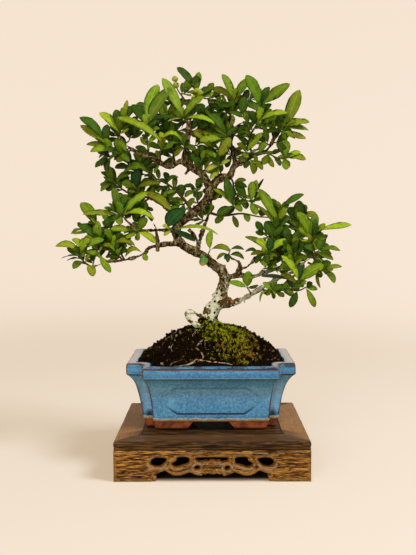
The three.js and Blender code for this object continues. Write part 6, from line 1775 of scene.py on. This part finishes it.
# Inner foliage: short side shoots with a few small leaves near their tips, off the older wood behind the
# sprays. Each has its tip's place, how many leaves it has and their length, and starts at the nearest
# wood, which counts as farther off where it lies above.
INNER_SHOOTS = [
    (-77, 4, 279, 7, 17), (-91, -6, 276, 5, 15), (-83, 2, 265, 5, 15), (-54, 8, 289, 6, 16),
    (-25, 10, 284, 7, 17), (-14, 2, 282, 7, 18), (-11, 12, 270, 7, 17), (-1, 4, 264, 6, 15),
    (27, 6, 277, 7, 16), (49, 4, 291, 7, 17), (57, 10, 285, 6, 17), (49, -4, 270, 6, 15),
    (63, 6, 270, 5, 15), (-100, -8, 255, 6, 16), (-85, 6, 255, 7, 17), (-68, 8, 252, 7, 17),
    (-51, 4, 249, 6, 15), (-39, 10, 256, 6, 15), (-15, 10, 254, 7, 17), (-5, -2, 246, 6, 15),
    (-8, -6, 256, 6, 15), (14, 8, 259, 6, 15), (24, 2, 256, 5, 14), (-24, 4, 318, 6, 14),
    (-42, 10, 310, 6, 14), (2, 8, 313, 6, 17), (5, 2, 299, 6, 15), (38, 6, 310, 7, 17),
    (-59, 10, 229, 6, 16), (-45, 6, 225, 5, 14), (-40, 12, 216, 6, 15), (-33, 4, 210, 5, 14),
    (-5, 8, 201, 5, 14), (-14, 14, 197, 5, 14), (49, 6, 182, 5, 15), (64, 8, 205, 6, 15),
    (42, 4, 216, 5, 15), (56, 8, 149, 6, 13), (69, 2, 146, 6, 14), (71, -8, 132, 6, 13),
    (83, 0, 135, 6, 13), (93, 10, 165, 6, 15), (105, 4, 158, 5, 15), (-106, 0, 166, 6, 13),
    (-115, 4, 158, 6, 12), (-126, 2, 187, 6, 14), (-65, 8, 199, 6, 13), (-71, 2, 185, 5, 12),
    (-99, 8, 191, 6, 15), (-86, 6, 175, 5, 13), (8, 6, 309, 5, 13), (50, 4, 156, 6, 12),
    (-31, 14, 300, 6, 18), (-61, 12, 304, 6, 17), (23, 12, 305, 6, 17), (78, 16, 175, 6, 18),
    (88, 12, 198, 6, 17), (73, 14, 161, 6, 16), (109, 10, 173, 6, 14),
]
INNER = {"thick": 1.5, "sag": 0.12, "leafy": 11, "below": 0.6, "seed": 3000}

wood_lines = np.vstack([
    *(along_path(curve(np.array(places)[:, :3], 6), 40, 3) for places in LIMBS.values()),
    *(shoot_path(points) for twigs, _, _ in SPRAYS.values() for points in twigs),
])
inner = []
for n, (x, y, z, count, long) in enumerate(INNER_SHOOTS):
    tip = np.array([x, y, z], float)
    gap = wood_lines - tip
    above = INNER["below"] * np.maximum(gap[:, 2], 0)
    start = wood_lines[np.argmin(np.linalg.norm(gap, axis=1) + above)]
    reach = np.linalg.norm(tip - start)
    bend = (start + tip) / 2 + (0, 0, -INNER["sag"] * reach)
    bare = max(0.15, 1 - INNER["leafy"] / max(reach, 1))
    inner.append(([[start, bend, tip]], [(0, count / MORE_LEAVES, long, bare)], []))
for name, share in (("inner_leaves_left", inner[0::2]), ("inner_leaves_right", inner[1::2])):
    foliage(name, share, INNER["seed"], INNER["thick"])

# Berries: five unripe ones at the top, each a small green apple with the dry star of its flower on its
# end, on a thin stalk of its own.
BERRY = {"size": 6.2, "tall": 0.9, "stalk": 0.9, "rows": 15, "sides": 18}
BERRY_COLOURS = {
    "green": (0.26, 0.34, 0.02), "lit": (0.42, 0.48, 0.05), "speck": (0.42, 0.50, 0.14),
    "star": (0.05, 0.025, 0.012),
}
# The middle of each berry, and the way its star points.
BERRY_PLACES = [
    ((-35, -4.5, 328), (-0.15, -0.35, 1)), ((-34, -4.5, 322.3), (0.5, -0.7, 0.3)),
    ((-14, -5.5, 317), (-0.2, -0.6, 0.9)), ((-10.6, -6.5, 314.6), (0.6, -0.6, 0.6)),
    ((-16.8, -5, 309.6), (-0.4, -0.8, -0.2)),
]


def berry(place, way):
    """A ball pulled in at both ends, turned so that its star points along `way`: rows from stalk to star."""
    turn = np.linspace(0, math.pi, BERRY["rows"])
    around = np.linspace(0, 2 * math.pi, BERRY["sides"], endpoint=False)
    radius = BERRY["size"] / 2
    out = np.sin(turn) * radius
    up = -np.cos(turn) * radius * BERRY["tall"] * (1 - 0.22 * np.exp(-((np.sin(turn) / 0.3) ** 2)))
    lobes = 0.35 * np.exp(-(((turn - 2.86) / 0.12) ** 2))[:, None] * (1 + 0.7 * np.cos(5 * around))
    way = np.array(way) / np.linalg.norm(way)
    side = np.cross(way, (0, 1, 0.2))
    side /= np.linalg.norm(side)
    third = np.cross(way, side)
    ring = np.cos(around)[:, None] * side + np.sin(around)[:, None] * third
    height = up[:, None] + lobes
    return np.array(place) + np.maximum(out, 0.02)[:, None, None] * ring + height[..., None] * way


def berry_skin(place, value):
    """Green, brighter in soft patches with pale specks, and brown at the star."""
    cloud = place.noise(260, 3)
    colour = cloud.rise(0.35, 0.65).mix(BERRY_COLOURS["green"], BERRY_COLOURS["lit"])
    colour = place.cells(1400).rise(0.24, 0.12).mix(colour, BERRY_COLOURS["speck"])
    colour = value("star").rise(0.35, 0.6).mix(colour, BERRY_COLOURS["star"])
    return {"Base Color": colour, "Roughness": 0.34 + value("star") * 0.4}


berry_parts, stars = [], []
for place, way in BERRY_PLACES:
    ball = berry(place, way)
    berry_parts.append((ball, tube_faces(BERRY["rows"], BERRY["sides"])))
    stars.append(np.repeat(np.linspace(0, 1, BERRY["rows"]) > 0.87, BERRY["sides"]))
    base = ball[0].mean(axis=0)
    near = wood_lines[np.argmin(np.linalg.norm(wood_lines - base - (0, 0, -3), axis=1))]
    stalk = along_path(curve([near, (near + base) / 2 + (0.4, -0.3, -0.6), base], 6), 14, 3)
    berry_parts.append((tubes(stalk, np.full(14, BERRY["stalk"] / 2), 6), tube_faces(14, 6)))
    stars.append(np.zeros(14 * 6))
berry_points, berry_faces = joined(berry_parts)
berries = build("green_berries", berry_points * MM + TREE_ORIGIN, berry_faces, star=np.concatenate(stars))
berries.data.materials.append(surface("unripe_berry", berry_skin, Specular_IOR_Level=0.2))
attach(berries, "root")
